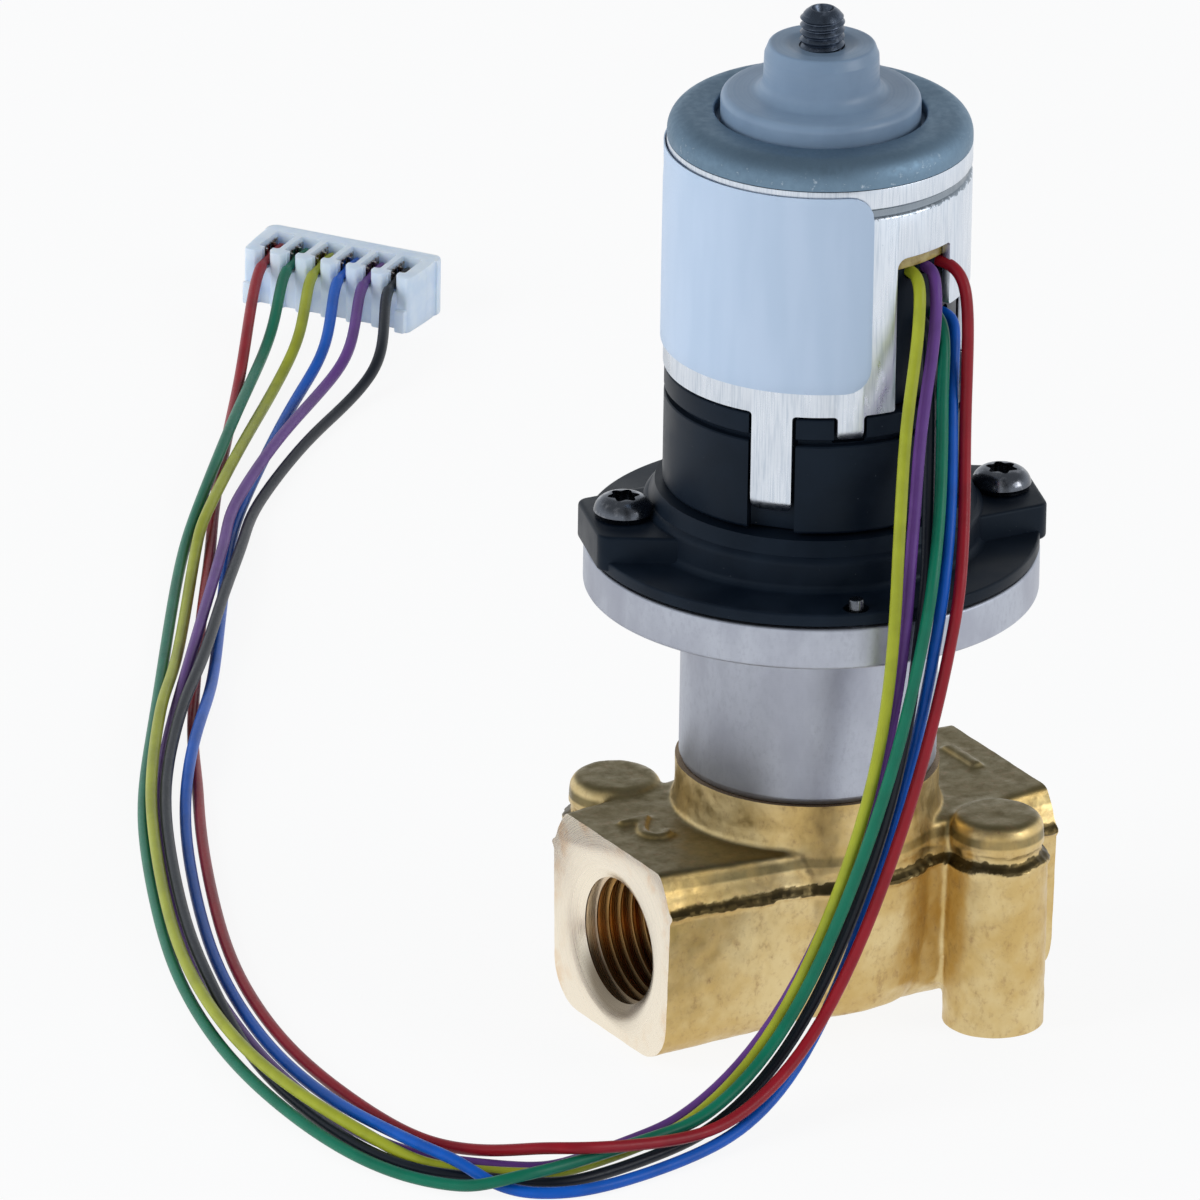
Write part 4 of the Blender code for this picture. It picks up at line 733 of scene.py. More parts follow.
@dataclass(frozen=True)
class CutBrass(Finish):
    """Freshly machined brass in a port: pinkish, with the tool's rings about the port's axis."""

    name: str = "cut brass"
    colour: Colour = (0.92, 0.83, 0.68)
    roughness: float = 0.26
    metallic: float = 1.0
    deep: Colour = (0.66, 0.38, 0.13)
    stain: Colour = (0.8, 0.52, 0.28)
    shade: Colour = (0.13, 0.09, 0.05)
    axis_height: float = 7.3

    def lay(self, mix: Recipe) -> None:
        """Lays rings about the port's axis, a warmer tone further in, and painted shade on faces that look
        up.

        Args:
            mix: The material that is being made.
        """
        parts = mix.parts()
        lifted = mix.maths("SUBTRACT", parts["Z"], self.axis_height)
        square = mix.maths("MULTIPLY", parts["Y"], parts["Y"])
        reach = mix.maths("SQRT", mix.maths("ADD", square, mix.maths("MULTIPLY", lifted, lifted)))
        about = mix.node("ShaderNodeCombineXYZ", {0: reach, 1: parts["X"]}).outputs[0]
        rings = mix.noise(0.05, 2.0, place=about)
        cloud = mix.noise(2.5, 3.0)
        inward = mix.ramp(mix.maths("ABSOLUTE", parts["X"]), 12.6, 14.2, 1.0, 0.0)
        outward = mix.ramp(reach, 5.6, 9.0, 0.1, 0.7)
        patch = mix.maths("MULTIPLY", outward, mix.ramp(cloud, 0.5, 0.7))
        tone = mix.tint(patch, self.colour, self.stain)
        tone = mix.tint(inward, tone, self.deep)
        # Painted shade: faces that look up are darkened, standing in for the dark ceiling they would mirror.
        tone = mix.tint(mix.ramp(mix.facing_up(), 0.1, 0.42, 0.0, 0.85), tone, self.shade)
        rough = self.gloss(mix, rings, 0.06, 0.1)
        mix.put(Base_Color=tone, Roughness=rough, Normal=mix.bump(rings, 0.003))


@dataclass(frozen=True)
class TurnedSteel(Finish):
    """Steel with the fine rings that a lathe leaves, faintly clouded."""

    name: str = "turned steel"
    colour: Colour = (0.5, 0.53, 0.6)
    roughness: float = 0.45
    metallic: float = 1.0
    shade: Colour = (0.4, 0.42, 0.49)
    ring: float = 0.05
    depth: float = 0.0025

    def lay(self, mix: Recipe) -> None:
        """Lays fine rings about the axis, clouds, and a few small scratches.

        Args:
            mix: The material that is being made.
        """
        rings = mix.noise(self.ring, 2.0, place=mix.around())
        broad = mix.noise(0.5, 3.0, place=mix.around())
        cloud = mix.noise(3.5, 4.0, stretch=(1.0, 1.0, 2.0))
        mottle = mix.noise(0.32, 4.0, 0.7, stretch=(1.0, 1.0, 1.8))
        scratch = mix.noise(0.9, 2.0, 0.4, stretch=(0.05, 0.05, 2.5), distortion=0.6)
        tone = mix.tint(mix.ramp(cloud, 0.35, 0.75), self.colour, self.shade)
        tone = mix.tint(mix.ramp(broad, 0.6, 0.8, 0.0, 0.3), tone, self.shade)
        tone = mix.tint(mix.ramp(mottle, 0.45, 0.7, 0.0, 0.6), tone, self.shade)
        rough = self.gloss(mix, rings, 0.08, 0.1, low=0.25)
        relief = mix.bump(rings, self.depth, 0.8, under=mix.bump(mix.ramp(scratch, 0.62, 0.7), 0.002, 0.5))
        mix.put(Base_Color=tone, Roughness=rough, Normal=relief)


@dataclass(frozen=True)
class PlatedSheet(Finish):
    """Bright plated sheet steel, brushed along the can's height by drawing."""

    name: str = "plated sheet"
    colour: Colour = (0.72, 0.77, 0.84)
    roughness: float = 0.26
    metallic: float = 1.0
    shade: Colour = (0.5, 0.57, 0.66)
    # The next colour is painted shade, laid in a band inside the rolled groove.
    painted_light: Colour = (0.2, 0.24, 0.28)
    grain: float = 0.12
    length: float = 24.0
    groove: tuple[float, float] = (59.32, 60.18)

    def lay(self, mix: Recipe) -> None:
        """Lays draw lines down the height, frosted patches, small spots, and painted shade in the rolled
        groove.

        Args:
            mix: The material that is being made.
        """
        lines = mix.noise(self.grain, 4.0, 0.6, stretch=(1.0, 1.0, self.length))
        frost = mix.noise(1.6, 6.0, 0.7, stretch=(1.0, 1.0, 2.5))
        spot = mix.noise(0.35, 3.0, 0.6)
        tone = mix.tint(mix.ramp(lines, 0.4, 0.75, 0.0, 0.8), self.colour, self.shade)
        tone = mix.tint(mix.ramp(spot, 0.68, 0.8, 0.0, 0.6), tone, self.shade)
        # Painted shade: a darker band inside the rolled groove, with a ragged lower edge.
        ragged = mix.maths("ADD", mix.height(), mix.ramp(spot, 0.3, 0.7, -0.12, 0.12))
        low, high = self.groove
        above, below = mix.ramp(ragged, low, low + 0.1), mix.ramp(mix.height(), high - 0.1, high, 1.0, 0.0)
        band = mix.maths("MULTIPLY", above, below)
        tone = mix.tint(mix.maths("MULTIPLY", band, 0.85), tone, self.painted_light)
        rough = mix.ramp(frost, 0.35, 0.7, self.roughness - 0.02, self.roughness + 0.2)
        relief = mix.bump(lines, 0.006, 0.6, under=mix.bump(frost, 0.006, 0.4))
        mix.put(Base_Color=tone, Roughness=rough, Normal=relief)


@dataclass(frozen=True)
class PressedSheet(Finish):
    """Satin zinc-grey sheet of the end plate, mottled, with painted highlight specks along its corner."""

    name: str = "pressed sheet"
    colour: Colour = (0.2, 0.3, 0.4)
    roughness: float = 0.55
    metallic: float = 1.0
    shade: Colour = (0.15, 0.23, 0.31)
    # The next colour is a painted highlight for the specks along the corner.
    bright: Colour = (0.55, 0.64, 0.72)

    def lay(self, mix: Recipe) -> None:
        """Lays a fine mottle and painted highlight specks along the rounded corner.

        Args:
            mix: The material that is being made.
        """
        mottle = mix.noise(0.5, 6.0, 0.7)
        broad = mix.noise(4.0, 3.0)
        # Painted highlight: sparse bright specks round the rounded corner stand in for its sparkle.
        rim = mix.ramp(mix.height(), 62.2, 63.2, 1.0, 0.0)
        painted_light = mix.maths("MULTIPLY", rim, mix.ramp(mottle, 0.58, 0.68))
        tone = mix.tint(mix.ramp(broad, 0.3, 0.7, 0.0, 0.4), self.colour, self.shade)
        tone = mix.tint(mix.maths("MULTIPLY", painted_light, 0.7), tone, self.bright)
        rough = self.gloss(mix, mottle, 0.08, 0.1)
        mix.put(Base_Color=tone, Roughness=rough, Normal=mix.bump(mottle, 0.008, 0.7))


@dataclass(frozen=True)
class Moulding(Finish):
    """Moulded plastic with the fine spark grain of its mould."""

    name: str = "black moulding"
    colour: Colour = (0.003, 0.006, 0.012)
    roughness: float = 0.4
    grain: float = 0.1
    depth: float = 0.006
    lighter: Colour = (0.007, 0.012, 0.021)
    dust: Colour = (0.25, 0.27, 0.3)
    sheen: float = 0.16

    def lay(self, mix: Recipe) -> None:
        """Lays spark grain, faint flow marks and dust.

        Args:
            mix: The material that is being made.
        """
        mix.fix(Specular_IOR_Level=self.sheen, Specular_Tint=(0.7, 0.85, 1.0, 1.0))
        grain = mix.noise(self.grain, 3.0, 0.6)
        flow = mix.noise(4.0, 3.0, 0.5)
        dust = mix.noise(0.22, 2.0, 0.5)
        tone = mix.tint(mix.ramp(flow, 0.3, 0.75), self.colour, self.lighter)
        tone = mix.tint(mix.ramp(dust, 0.74, 0.8, 0.0, 0.25), tone, self.dust)
        rough = self.gloss(mix, flow, 0.05, 0.08)
        mix.put(Base_Color=tone, Roughness=rough, Normal=mix.bump(grain, self.depth, 0.7))


@dataclass(frozen=True)
class Patched(Finish):
    """Two tones in soft patches, under a finer grain that varies gloss and relief.

    A pattern is (size, detail, roughness, stretch) as Recipe.noise takes them, a relief (depth, strength).
    Without a grain of its own, the patches serve for gloss and relief too.
    """

    other: Colour = (0.5, 0.5, 0.5)
    patch: tuple = (0.2, 4.0, 0.6)
    edges: tuple[float, ...] = (0.35, 0.7)
    swell: tuple[float, float] | None = None
    grain: tuple | None = None
    turned: bool = False
    swing: tuple[float, float] = (0.06, 0.1)
    relief: tuple[float, float] = (0.006, 0.6)

    def lay(self, mix: Recipe) -> None:
        """Lays the patches, then the grain over them.

        Args:
            mix: The material that is being made.
        """
        patch = mix.noise(*self.patch)
        grain = patch
        if self.grain is not None:
            grain = mix.noise(*self.grain, place=mix.around() if self.turned else None)
        tone = mix.tint(mix.ramp(patch, *self.edges), self.colour, self.other)
        under = mix.bump(patch, *self.swell) if self.swell else None
        rough = self.gloss(mix, grain, *self.swing)
        mix.put(Base_Color=tone, Roughness=rough, Normal=mix.bump(grain, *self.relief, under=under))


@dataclass(frozen=True)
class Bushing(Patched):
    """Grey acetal of the top bush, smooth and a little waxy, with soft turning rings."""

    name: str = "grey bushing"
    colour: Colour = (0.175, 0.255, 0.365)
    roughness: float = 0.4
    other: Colour = (0.205, 0.295, 0.415)
    patch: tuple = (3.0, 3.0)
    edges: tuple[float, ...] = (0.3, 0.75)
    grain: tuple | None = (0.16, 2.0)
    turned: bool = True
    swing: tuple[float, float] = (0.05, 0.08)
    relief: tuple[float, float] = (0.003, 0.6)

    def lay(self, mix: Recipe) -> None:
        """Lays the rings, and a waxy depth under the surface."""
        mix.fix(Subsurface_Weight=0.15, Subsurface_Radius=(0.0006, 0.0006, 0.0007), Subsurface_Scale=1.0)
        super().lay(mix)


@dataclass(frozen=True)
class BlackedSteel(Patched):
    """Blackened steel of the spindle, oiled, and rubbed thin to grey in places."""

    name: str = "blacked steel"
    colour: Colour = (0.08, 0.1, 0.135)
    roughness: float = 0.3
    metallic: float = 1.0
    other: Colour = (0.26, 0.3, 0.38)
    patch: tuple = (0.6, 4.0, 0.6)
    edges: tuple[float, ...] = (0.5, 0.75, 0.0, 0.6)
    grain: tuple | None = (0.08, 3.0)
    swing: tuple[float, float] = (0.08, 0.12)
    relief: tuple[float, float] = (0.003, 0.7)


@dataclass(frozen=True)
class PlatedScrew(BlackedSteel):
    """Dark plated steel of the small screws and the pin, polished on the dome."""

    name: str = "plated screw"
    colour: Colour = (0.12, 0.13, 0.15)
    roughness: float = 0.2
    other: Colour = (0.42, 0.43, 0.46)


@dataclass(frozen=True)
class LabelFilm(Patched):
    """Satin white film of the blank label: a fine tooth, over ripples down its height."""

    name: str = "label film"
    colour: Colour = (0.49, 0.6, 0.76)
    roughness: float = 0.42
    other: Colour = (0.455, 0.57, 0.73)
    patch: tuple = (1.5, 2.0, 0.4, (1.0, 1.0, 6.0))
    edges: tuple[float, ...] = (0.3, 0.7)
    swell: tuple[float, float] | None = (0.012, 0.4)
    grain: tuple | None = (0.12, 3.0)
    relief: tuple[float, float] = (0.003, 0.6)


@dataclass(frozen=True)
class AmberFilm(Finish):
    """Glossy amber insulation film, deeper in colour where it is thick with varnish."""

    name: str = "amber film"
    colour: Colour = (0.42, 0.33, 0.1)
    roughness: float = 0.2
    deep: Colour = (0.24, 0.16, 0.03)

    def lay(self, mix: Recipe) -> None:
        """Lays uneven varnish over the film.

        Args:
            mix: The material that is being made.
        """
        mix.fix(Coat_Weight=0.5, Coat_Roughness=0.1)
        varnish = mix.noise(0.8, 4.0, 0.6)
        tone = mix.tint(mix.ramp(varnish, 0.35, 0.7), self.colour, self.deep)
        mix.put(Base_Color=tone, Normal=mix.bump(varnish, 0.02, 0.6))


@dataclass(frozen=True)
class NaturalNylon(Patched):
    """Natural nylon of the connector, milky and a little see-through at its thin edges."""

    name: str = "natural nylon"
    colour: Colour = (0.72, 0.82, 0.97)
    roughness: float = 0.34
    other: Colour = (0.62, 0.74, 0.93)
    patch: tuple = (1.6, 3.0)
    edges: tuple[float, ...] = (0.3, 0.7)
    grain: tuple | None = (0.35, 3.0)
    relief: tuple[float, float] = (0.006, 0.5)

    def lay(self, mix: Recipe) -> None:
        """Lays milky clouds, moulding ripples, and light that travels under the surface."""
        mix.fix(Subsurface_Weight=0.45, Subsurface_Radius=(0.0011, 0.0013, 0.0017), Subsurface_Scale=1.0)
        super().lay(mix)


@dataclass(frozen=True)
class TinnedBronze(Patched):
    """Tinned spring bronze of the contacts, patchy, with brown bare bronze between."""

    name: str = "tinned bronze"
    colour: Colour = (0.52, 0.5, 0.5)
    roughness: float = 0.2
    metallic: float = 1.0
    other: Colour = (0.25, 0.16, 0.11)
    patch: tuple = (0.3, 4.0, 0.6)
    edges: tuple[float, ...] = (0.45, 0.62)
    swing: tuple[float, float] = (0.08, 0.2)
    relief: tuple[float, float] = (0.015, 0.7)


@dataclass(frozen=True)
class Sleeve(Patched):
    """Satin PVC sleeve of a lead, with faint streaks of pigment and the die's fine ripple."""

    roughness: float = 0.38
    patch: tuple = (2.5, 3.0)
    grain: tuple | None = (0.14, 2.0)
    swing: tuple[float, float] = (0.04, 0.08)
    relief: tuple[float, float] = (0.004, 0.6)

    def lay(self, mix: Recipe) -> None:
        """Lays the streaks a little darker than the sleeve."""
        mix.fix(Specular_IOR_Level=0.3)
        super().lay(mix)


@dataclass(frozen=True)
class Speckled(Patched):
    """A hidden piece's finish: a tone that a fine speckle breaks up, in colour, roughness and relief."""


# Route of each lead, from the block inside the window to the connector
ROUTES: dict[str, list[Point]] = {
    "lead_red": [
        (3.7, -7.1, 54.8), (4.4, -8.4, 54.8), (4.8, -9.3, 54.5), (5, -10, 53.7),
        (4.9, -10.6, 52.4), (4.7, -11.1, 50), (4, -12, 44.4), (3, -13.8, 39.6),
        (1.3, -16.2, 36), (0.3, -17.2, 33.2), (-2, -16.8, 21.5), (-7.5, -15.5, 5.8),
        (-15.5, -18, 1.9), (-20, -18.1, 1.2), (-28, -18.6, 2.6), (-30.3, -16.7, 2.5),
        (-31.9, -13.8, 1.4), (-33.4, -10.1, 0.5), (-34.6, -6.4, 0.4), (-34.9, -0.2, 0.4),
        (-34.5, 8, 0.4), (-32.4, 17.1, 0.4), (-29.1, 26.5, 0.4), (-21.6, 42, 0.4),
        (-17.4, 49.3, 0.4), (-14.4, 55.2, 0.4), (-11.1, 60.7, 0.4), (-7.8, 66, 0.4),
        (-1.3, 76.1, 0.4), (4.7, 85, 0.4), (8.5, 91.3, 0.4), (17.3, 103.8, 0.4),
        (21.2, 109.1, 0.9), (24.3, 113.4, 2.2), (30.1, 121.8, 3.2), (31.6, 122.7, 3.3),
        (33.7, 124.1, 3.3),
    ],
    "lead_green": [
        (3.3, -7.4, 51.4), (3.7, -8.2, 51.4), (3.8, -9.1, 51.1), (3.6, -9.9, 50.3),
        (3.2, -10.6, 49), (2.6, -11.4, 47), (2.1, -12.3, 44.9), (1, -14, 40),
        (-0.9, -16.3, 36.5), (-1.9, -17.2, 33.7), (-3.9, -16.4, 21.8), (-9.6, -14.8, 6),
        (-17.5, -16.9, 1.9), (-20.5, -16.3, 1.2), (-27.9, -17.8, 1.5), (-31, -18.4, 1.7),
        (-33.4, -18.1, 1.6), (-35.3, -16.9, 0.9), (-36.4, -15.1, 0.5), (-38.3, -12, 0.4),
        (-39.5, -7, 0.4), (-39.6, 0, 0.4), (-38.7, 8.8, 0.4), (-36.3, 18.3, 0.4),
        (-32.7, 28, 0.4), (-25, 43.9, 0.4), (-20.5, 51.3, 0.4), (-16.8, 56.8, 0.4),
        (-13.2, 62.1, 0.4), (-9.7, 67.3, 0.4), (-3, 77.3, 0.4), (3.1, 86.1, 0.4),
        (7.4, 91.1, 1.1), (14.5, 99.4, 1.8), (19, 104.9, 1.5), (24.7, 111.9, 0.9),
        (27.3, 114.5, 2.2), (31.2, 120.1, 3.2), (32.7, 121.1, 3.3), (34.8, 122.4, 3.3),
    ],
    "lead_yellow": [
        (1.3, -8, 54.9), (1.5, -9.3, 54.9), (1.4, -10.1, 54.6), (1.1, -10.8, 53.8),
        (0.8, -11.2, 52.6), (0.5, -11.5, 50.5), (-1.3, -13.1, 45.9), (-2.4, -14.5, 40.9),
        (-3.4, -15.8, 36.9), (-3.9, -16.5, 33.9), (-4.1, -15.3, 21.4), (-9.7, -13.7, 5.6),
        (-17.6, -15.8, 1.5), (-20.8, -15.4, 0.4), (-27.8, -16.8, 0.4), (-30.2, -16.4, 0.4),
        (-32.7, -14.6, 0.4), (-34, -13.4, 0.4), (-36.3, -11.2, 0.4), (-38, -6.8, 1.4),
        (-38.8, 0, 1.6), (-38.2, 8.7, 1.5), (-35.8, 18.2, 1.4), (-32.3, 27.8, 1.4),
        (-24.5, 43.6, 1.4), (-20.1, 51, 1.4), (-16.4, 56.6, 1.4), (-12.8, 61.9, 1.4),
        (-8.9, 66.8, 0.8), (-2.2, 76.7, 0.4), (3.9, 85.6, 1), (5.3, 87.1, 1.7),
        (13.8, 96.8, 1.5), (20.2, 104.4, 0.4), (24.8, 109.1, 0.8), (28, 111.9, 2.2),
        (32.3, 118.4, 3.2), (33.8, 119.4, 3.3), (35.9, 120.8, 3.3),
    ],
    "lead_blue": [
        (4.5, -6.7, 50.8), (5, -7.5, 50.8), (5.3, -8.3, 50.5), (5, -9, 49.7),
        (4.5, -9.7, 48.6), (3.9, -10.6, 47.2), (3, -12, 44.6), (2.1, -13.6, 39.7),
        (0.4, -15.7, 36), (-0.5, -16.5, 33.1), (-1.7, -15.1, 20.8), (-6.9, -14.1, 5.1),
        (-13.8, -17.3, 1.2), (-19.7, -19, 0.4), (-28.2, -20.3, 0.4), (-31.4, -19.2, 0.4),
        (-33.1, -17.8, 0.4), (-34.4, -16.1, 0.9), (-35.1, -14.2, 1.6), (-36, -11.1, 1.6),
        (-36.5, -6.6, 1.4), (-36.5, -0.2, 0.7), (-35.7, 8.2, 0.4), (-33.4, 17.5, 0.4),
        (-30.1, 26.9, 0.4), (-22.6, 42.5, 0.4), (-18.1, 49.7, 1.2), (-14.2, 55.1, 1.5),
        (-10.3, 60.2, 1.1), (-6.7, 65.3, 0.4), (-0.2, 75.4, 0.4), (5.7, 84.3, 0.4),
        (9.4, 89.4, 0.4), (20.7, 102.3, 0.4), (25.3, 106.7, 0.8), (28.6, 109.2, 2.2),
        (33.4, 116.7, 3.2), (34.9, 117.7, 3.3), (37, 119.1, 3.3),
    ],
    "lead_purple": [
        (2.5, -7.6, 54.9), (2.9, -9, 54.9), (2.8, -9.8, 54.6), (2.5, -10.5, 53.8),
        (2.3, -10.9, 52.5), (1.9, -11.3, 50), (0.3, -12.4, 45.3), (-0.9, -13.9, 40.4),
        (-2.2, -15.4, 36.5), (-2.8, -16.2, 33.5), (-3.2, -14.5, 20.9), (-9.4, -12.8, 5.2),
        (-17.9, -14.8, 1.2), (-21, -14.4, 0.4), (-27.7, -15.8, 0.4), (-29.9, -15.5, 0.4),
        (-31.9, -13.9, 0.4), (-35.2, -10.8, 0.4), (-37, -6.7, 0.4), (-37.5, -0.1, 0.4),
        (-36.7, 8.4, 0.4), (-34.4, 17.8, 0.4), (-31.4, 27.5, 0.4), (-24.1, 43.4, 0.4),
        (-19.6, 50.7, 0.4), (-15.9, 56.2, 0.4), (-12.1, 61.4, 0.4), (-8.1, 66.3, 1.4),
        (-0.9, 75.8, 1.5), (5.6, 84.4, 1.4), (7.6, 87.7, 1.4), (15.5, 95.6, 1.5),
        (20.6, 100.3, 1.3), (26.1, 105.4, 0.8), (29.5, 107.3, 2.2), (34.5, 115.1, 3.2),
        (36, 116, 3.3), (38.1, 117.4, 3.3),
    ],
    "lead_black": [
        (2.1, -7.8, 51.4), (2.3, -8.6, 51.4), (2.4, -9.5, 51.1), (2.4, -10.1, 50.2),
        (2.2, -10.3, 48.9), (2.2, -10.4, 47.3), (1.6, -11.5, 44.7), (0.5, -13.2, 39.8),
        (-0.8, -15.4, 36), (-1.6, -15.9, 33), (-2.6, -15.7, 21.2), (-8.2, -14.3, 5.5),
        (-15.6, -16.3, 1.2), (-20.2, -17.2, 0.4), (-28, -18.6, 0.4), (-30.8, -17.9, 0.4),
        (-33.4, -15.2, 0.4), (-34.9, -14.1, 0.4), (-37.2, -11.6, 0.4), (-38.4, -6.9, 0.4),
        (-38.5, -0.1, 0.4), (-37.6, 8.6, 0.6), (-34.8, 17.9, 1.5), (-31.4, 27.4, 1.5),
        (-23.7, 43.2, 1.4), (-19.2, 50.5, 1.4), (-15.4, 55.9, 1.4), (-11.5, 61, 1.6),
        (-7.3, 65.7, 1.6), (-0.1, 75.3, 1.5), (6.6, 83.7, 1), (10, 88.8, 0.5),
        (19.6, 97.8, 0.4), (24.5, 101.4, 0.4), (28.7, 104.3, 0.8), (31.2, 105.9, 2.2),
        (35.6, 113.4, 3.2), (37.1, 114.4, 3.3), (39.2, 115.7, 3.3),
    ],
}


# Sub-assemblies


@dataclass
class Studio:
    """The camera, the pale floor, and light from all sides under a darker ceiling."""

    floor_size: float = 6.0
    floor_drop: float = 0.00002
    floor_glow: float = 0.9
    wall: float = 1.05
    ceiling: float = 0.34
    gap_angle: float = -105.0
    tone: Colour = (0.93, 0.965, 1.0)

    def camera(self) -> Piece:
        """Places the camera as the photograph was taken.

        Returns:
            The camera.
        """
        data = bpy.data.cameras.new("camera")
        data.lens = CAMERA_LENS
        data.sensor_width = CAMERA_SENSOR
        data.clip_start = 0.1
        data.clip_end = 20.0
        right = CAMERA_FORWARD.cross(CAMERA_UP).normalized()
        up = right.cross(CAMERA_FORWARD).normalized()
        turn = Matrix((right, up, -CAMERA_FORWARD.normalized())).transposed().to_4x4()
        made = linked("camera", data)
        made.matrix_world = Matrix.Translation(CAMERA_PLACE * MM) @ turn
        bpy.context.scene.camera = made
        return made

    def floor(self) -> Piece:
        """Lays a white floor that keeps the part's shadow.

        Returns:
            The floor.
        """
        bm = bmesh.new()
        bmesh.ops.create_grid(bm, x_segments=1, y_segments=1, size=self.floor_size / 2.0)
        mesh = meshed("floor", bm)
        material = bpy.data.materials.new("floor")
        material.use_nodes = True
        graph = Graph(material.node_tree)
        graph.tree.nodes.clear()
        diffuse = graph.node("ShaderNodeBsdfDiffuse", {"Color": (0.9, 0.92, 0.95, 1.0)})
        glow = graph.node("ShaderNodeEmission", {"Color": (1.0, 1.0, 1.0, 1.0), "Strength": 1.0})
        share = graph.maths("MULTIPLY", graph.seen(), self.floor_glow)
        both = graph.node("ShaderNodeMixShader", {0: share, 1: diffuse.outputs[0], 2: glow.outputs[0]})
        graph.node("ShaderNodeOutputMaterial", {0: both.outputs[0]})
        mesh.materials.append(material)
        made = linked("floor", mesh)
        made.location.z = -self.floor_drop
        return made

    def world(self) -> bpy.types.World:
        """Surrounds the part with bright walls, a darker ceiling and one dark gap between the screens.

        Returns:
            The world.
        """
        made = bpy.data.worlds.new("studio")
        made.use_nodes = True
        bpy.context.scene.world = made
        graph = Graph(made.node_tree)
        graph.tree.nodes.clear()
        way = graph.node("ShaderNodeTexCoord", {}).outputs["Generated"]
        parts = graph.node("ShaderNodeSeparateXYZ", {0: way})
        rise = graph.ramp(parts.outputs["Z"], 0.1, 0.75, self.wall, self.ceiling)
        toward = turned(self.gap_angle, 1.0)
        flat = graph.node("ShaderNodeCombineXYZ", {0: parts.outputs["X"], 1: parts.outputs["Y"]}).outputs[0]
        unit = graph.node("ShaderNodeVectorMath", {0: flat}, operation="NORMALIZE").outputs[0]
        along = graph.node("ShaderNodeVectorMath", {0: unit, 1: toward}, operation="DOT_PRODUCT")
        gap = graph.ramp(along.outputs["Value"], 0.955, 0.995, 1.0, 0.35)
        level = graph.maths("MULTIPLY", rise, gap)
        light = graph.node("ShaderNodeBackground", {"Color": (*self.tone, 1.0), "Strength": level})
        white = graph.node("ShaderNodeBackground", {"Color": (1.0, 1.0, 1.0, 1.0), "Strength": 1.0})
        camera = graph.node("ShaderNodeLightPath", {}).outputs["Is Camera Ray"]
        both = graph.node("ShaderNodeMixShader", {0: camera, 1: light.outputs[0], 2: white.outputs[0]})
        graph.node("ShaderNodeOutputWorld", {0: both.outputs[0]})
        return made

    def lamp(self, name: str, place: Sequence[float], size: float, power: float, mirrored: bool) -> Piece:
        """Hangs a square softbox that faces the middle of the part.

        Args:
            name: Name of the lamp.
            place: Its place in metres.
            size: Its side in metres.
            power: Its power in watts.
            mirrored: Whether shiny surfaces mirror it.

        Returns:
            The lamp.
        """
        data = bpy.data.lights.new(name, "AREA")
        data.shape = "SQUARE"
        data.size = size
        data.energy = power
        made = linked(name, data)
        made.location = place
        made.visible_glossy = mirrored
        aim = Vector((0.0, 0.0, 0.035)) - Vector(place)
        made.rotation_euler = aim.to_track_quat("-Z", "Y").to_euler()
        return made

    def build(self) -> None:
        """Sets up the camera, the floor, the world, the lamps and the plain view transform."""
        self.camera()
        self.floor()
        self.world()
        self.lamp("left softbox", (-1.1, 0.1, 0.55), 0.7, 7.0, False)
        self.lamp("right softbox", (0.75, -0.95, 0.6), 0.6, 4.0, True)
        bpy.context.scene.view_settings.view_transform = "Standard"


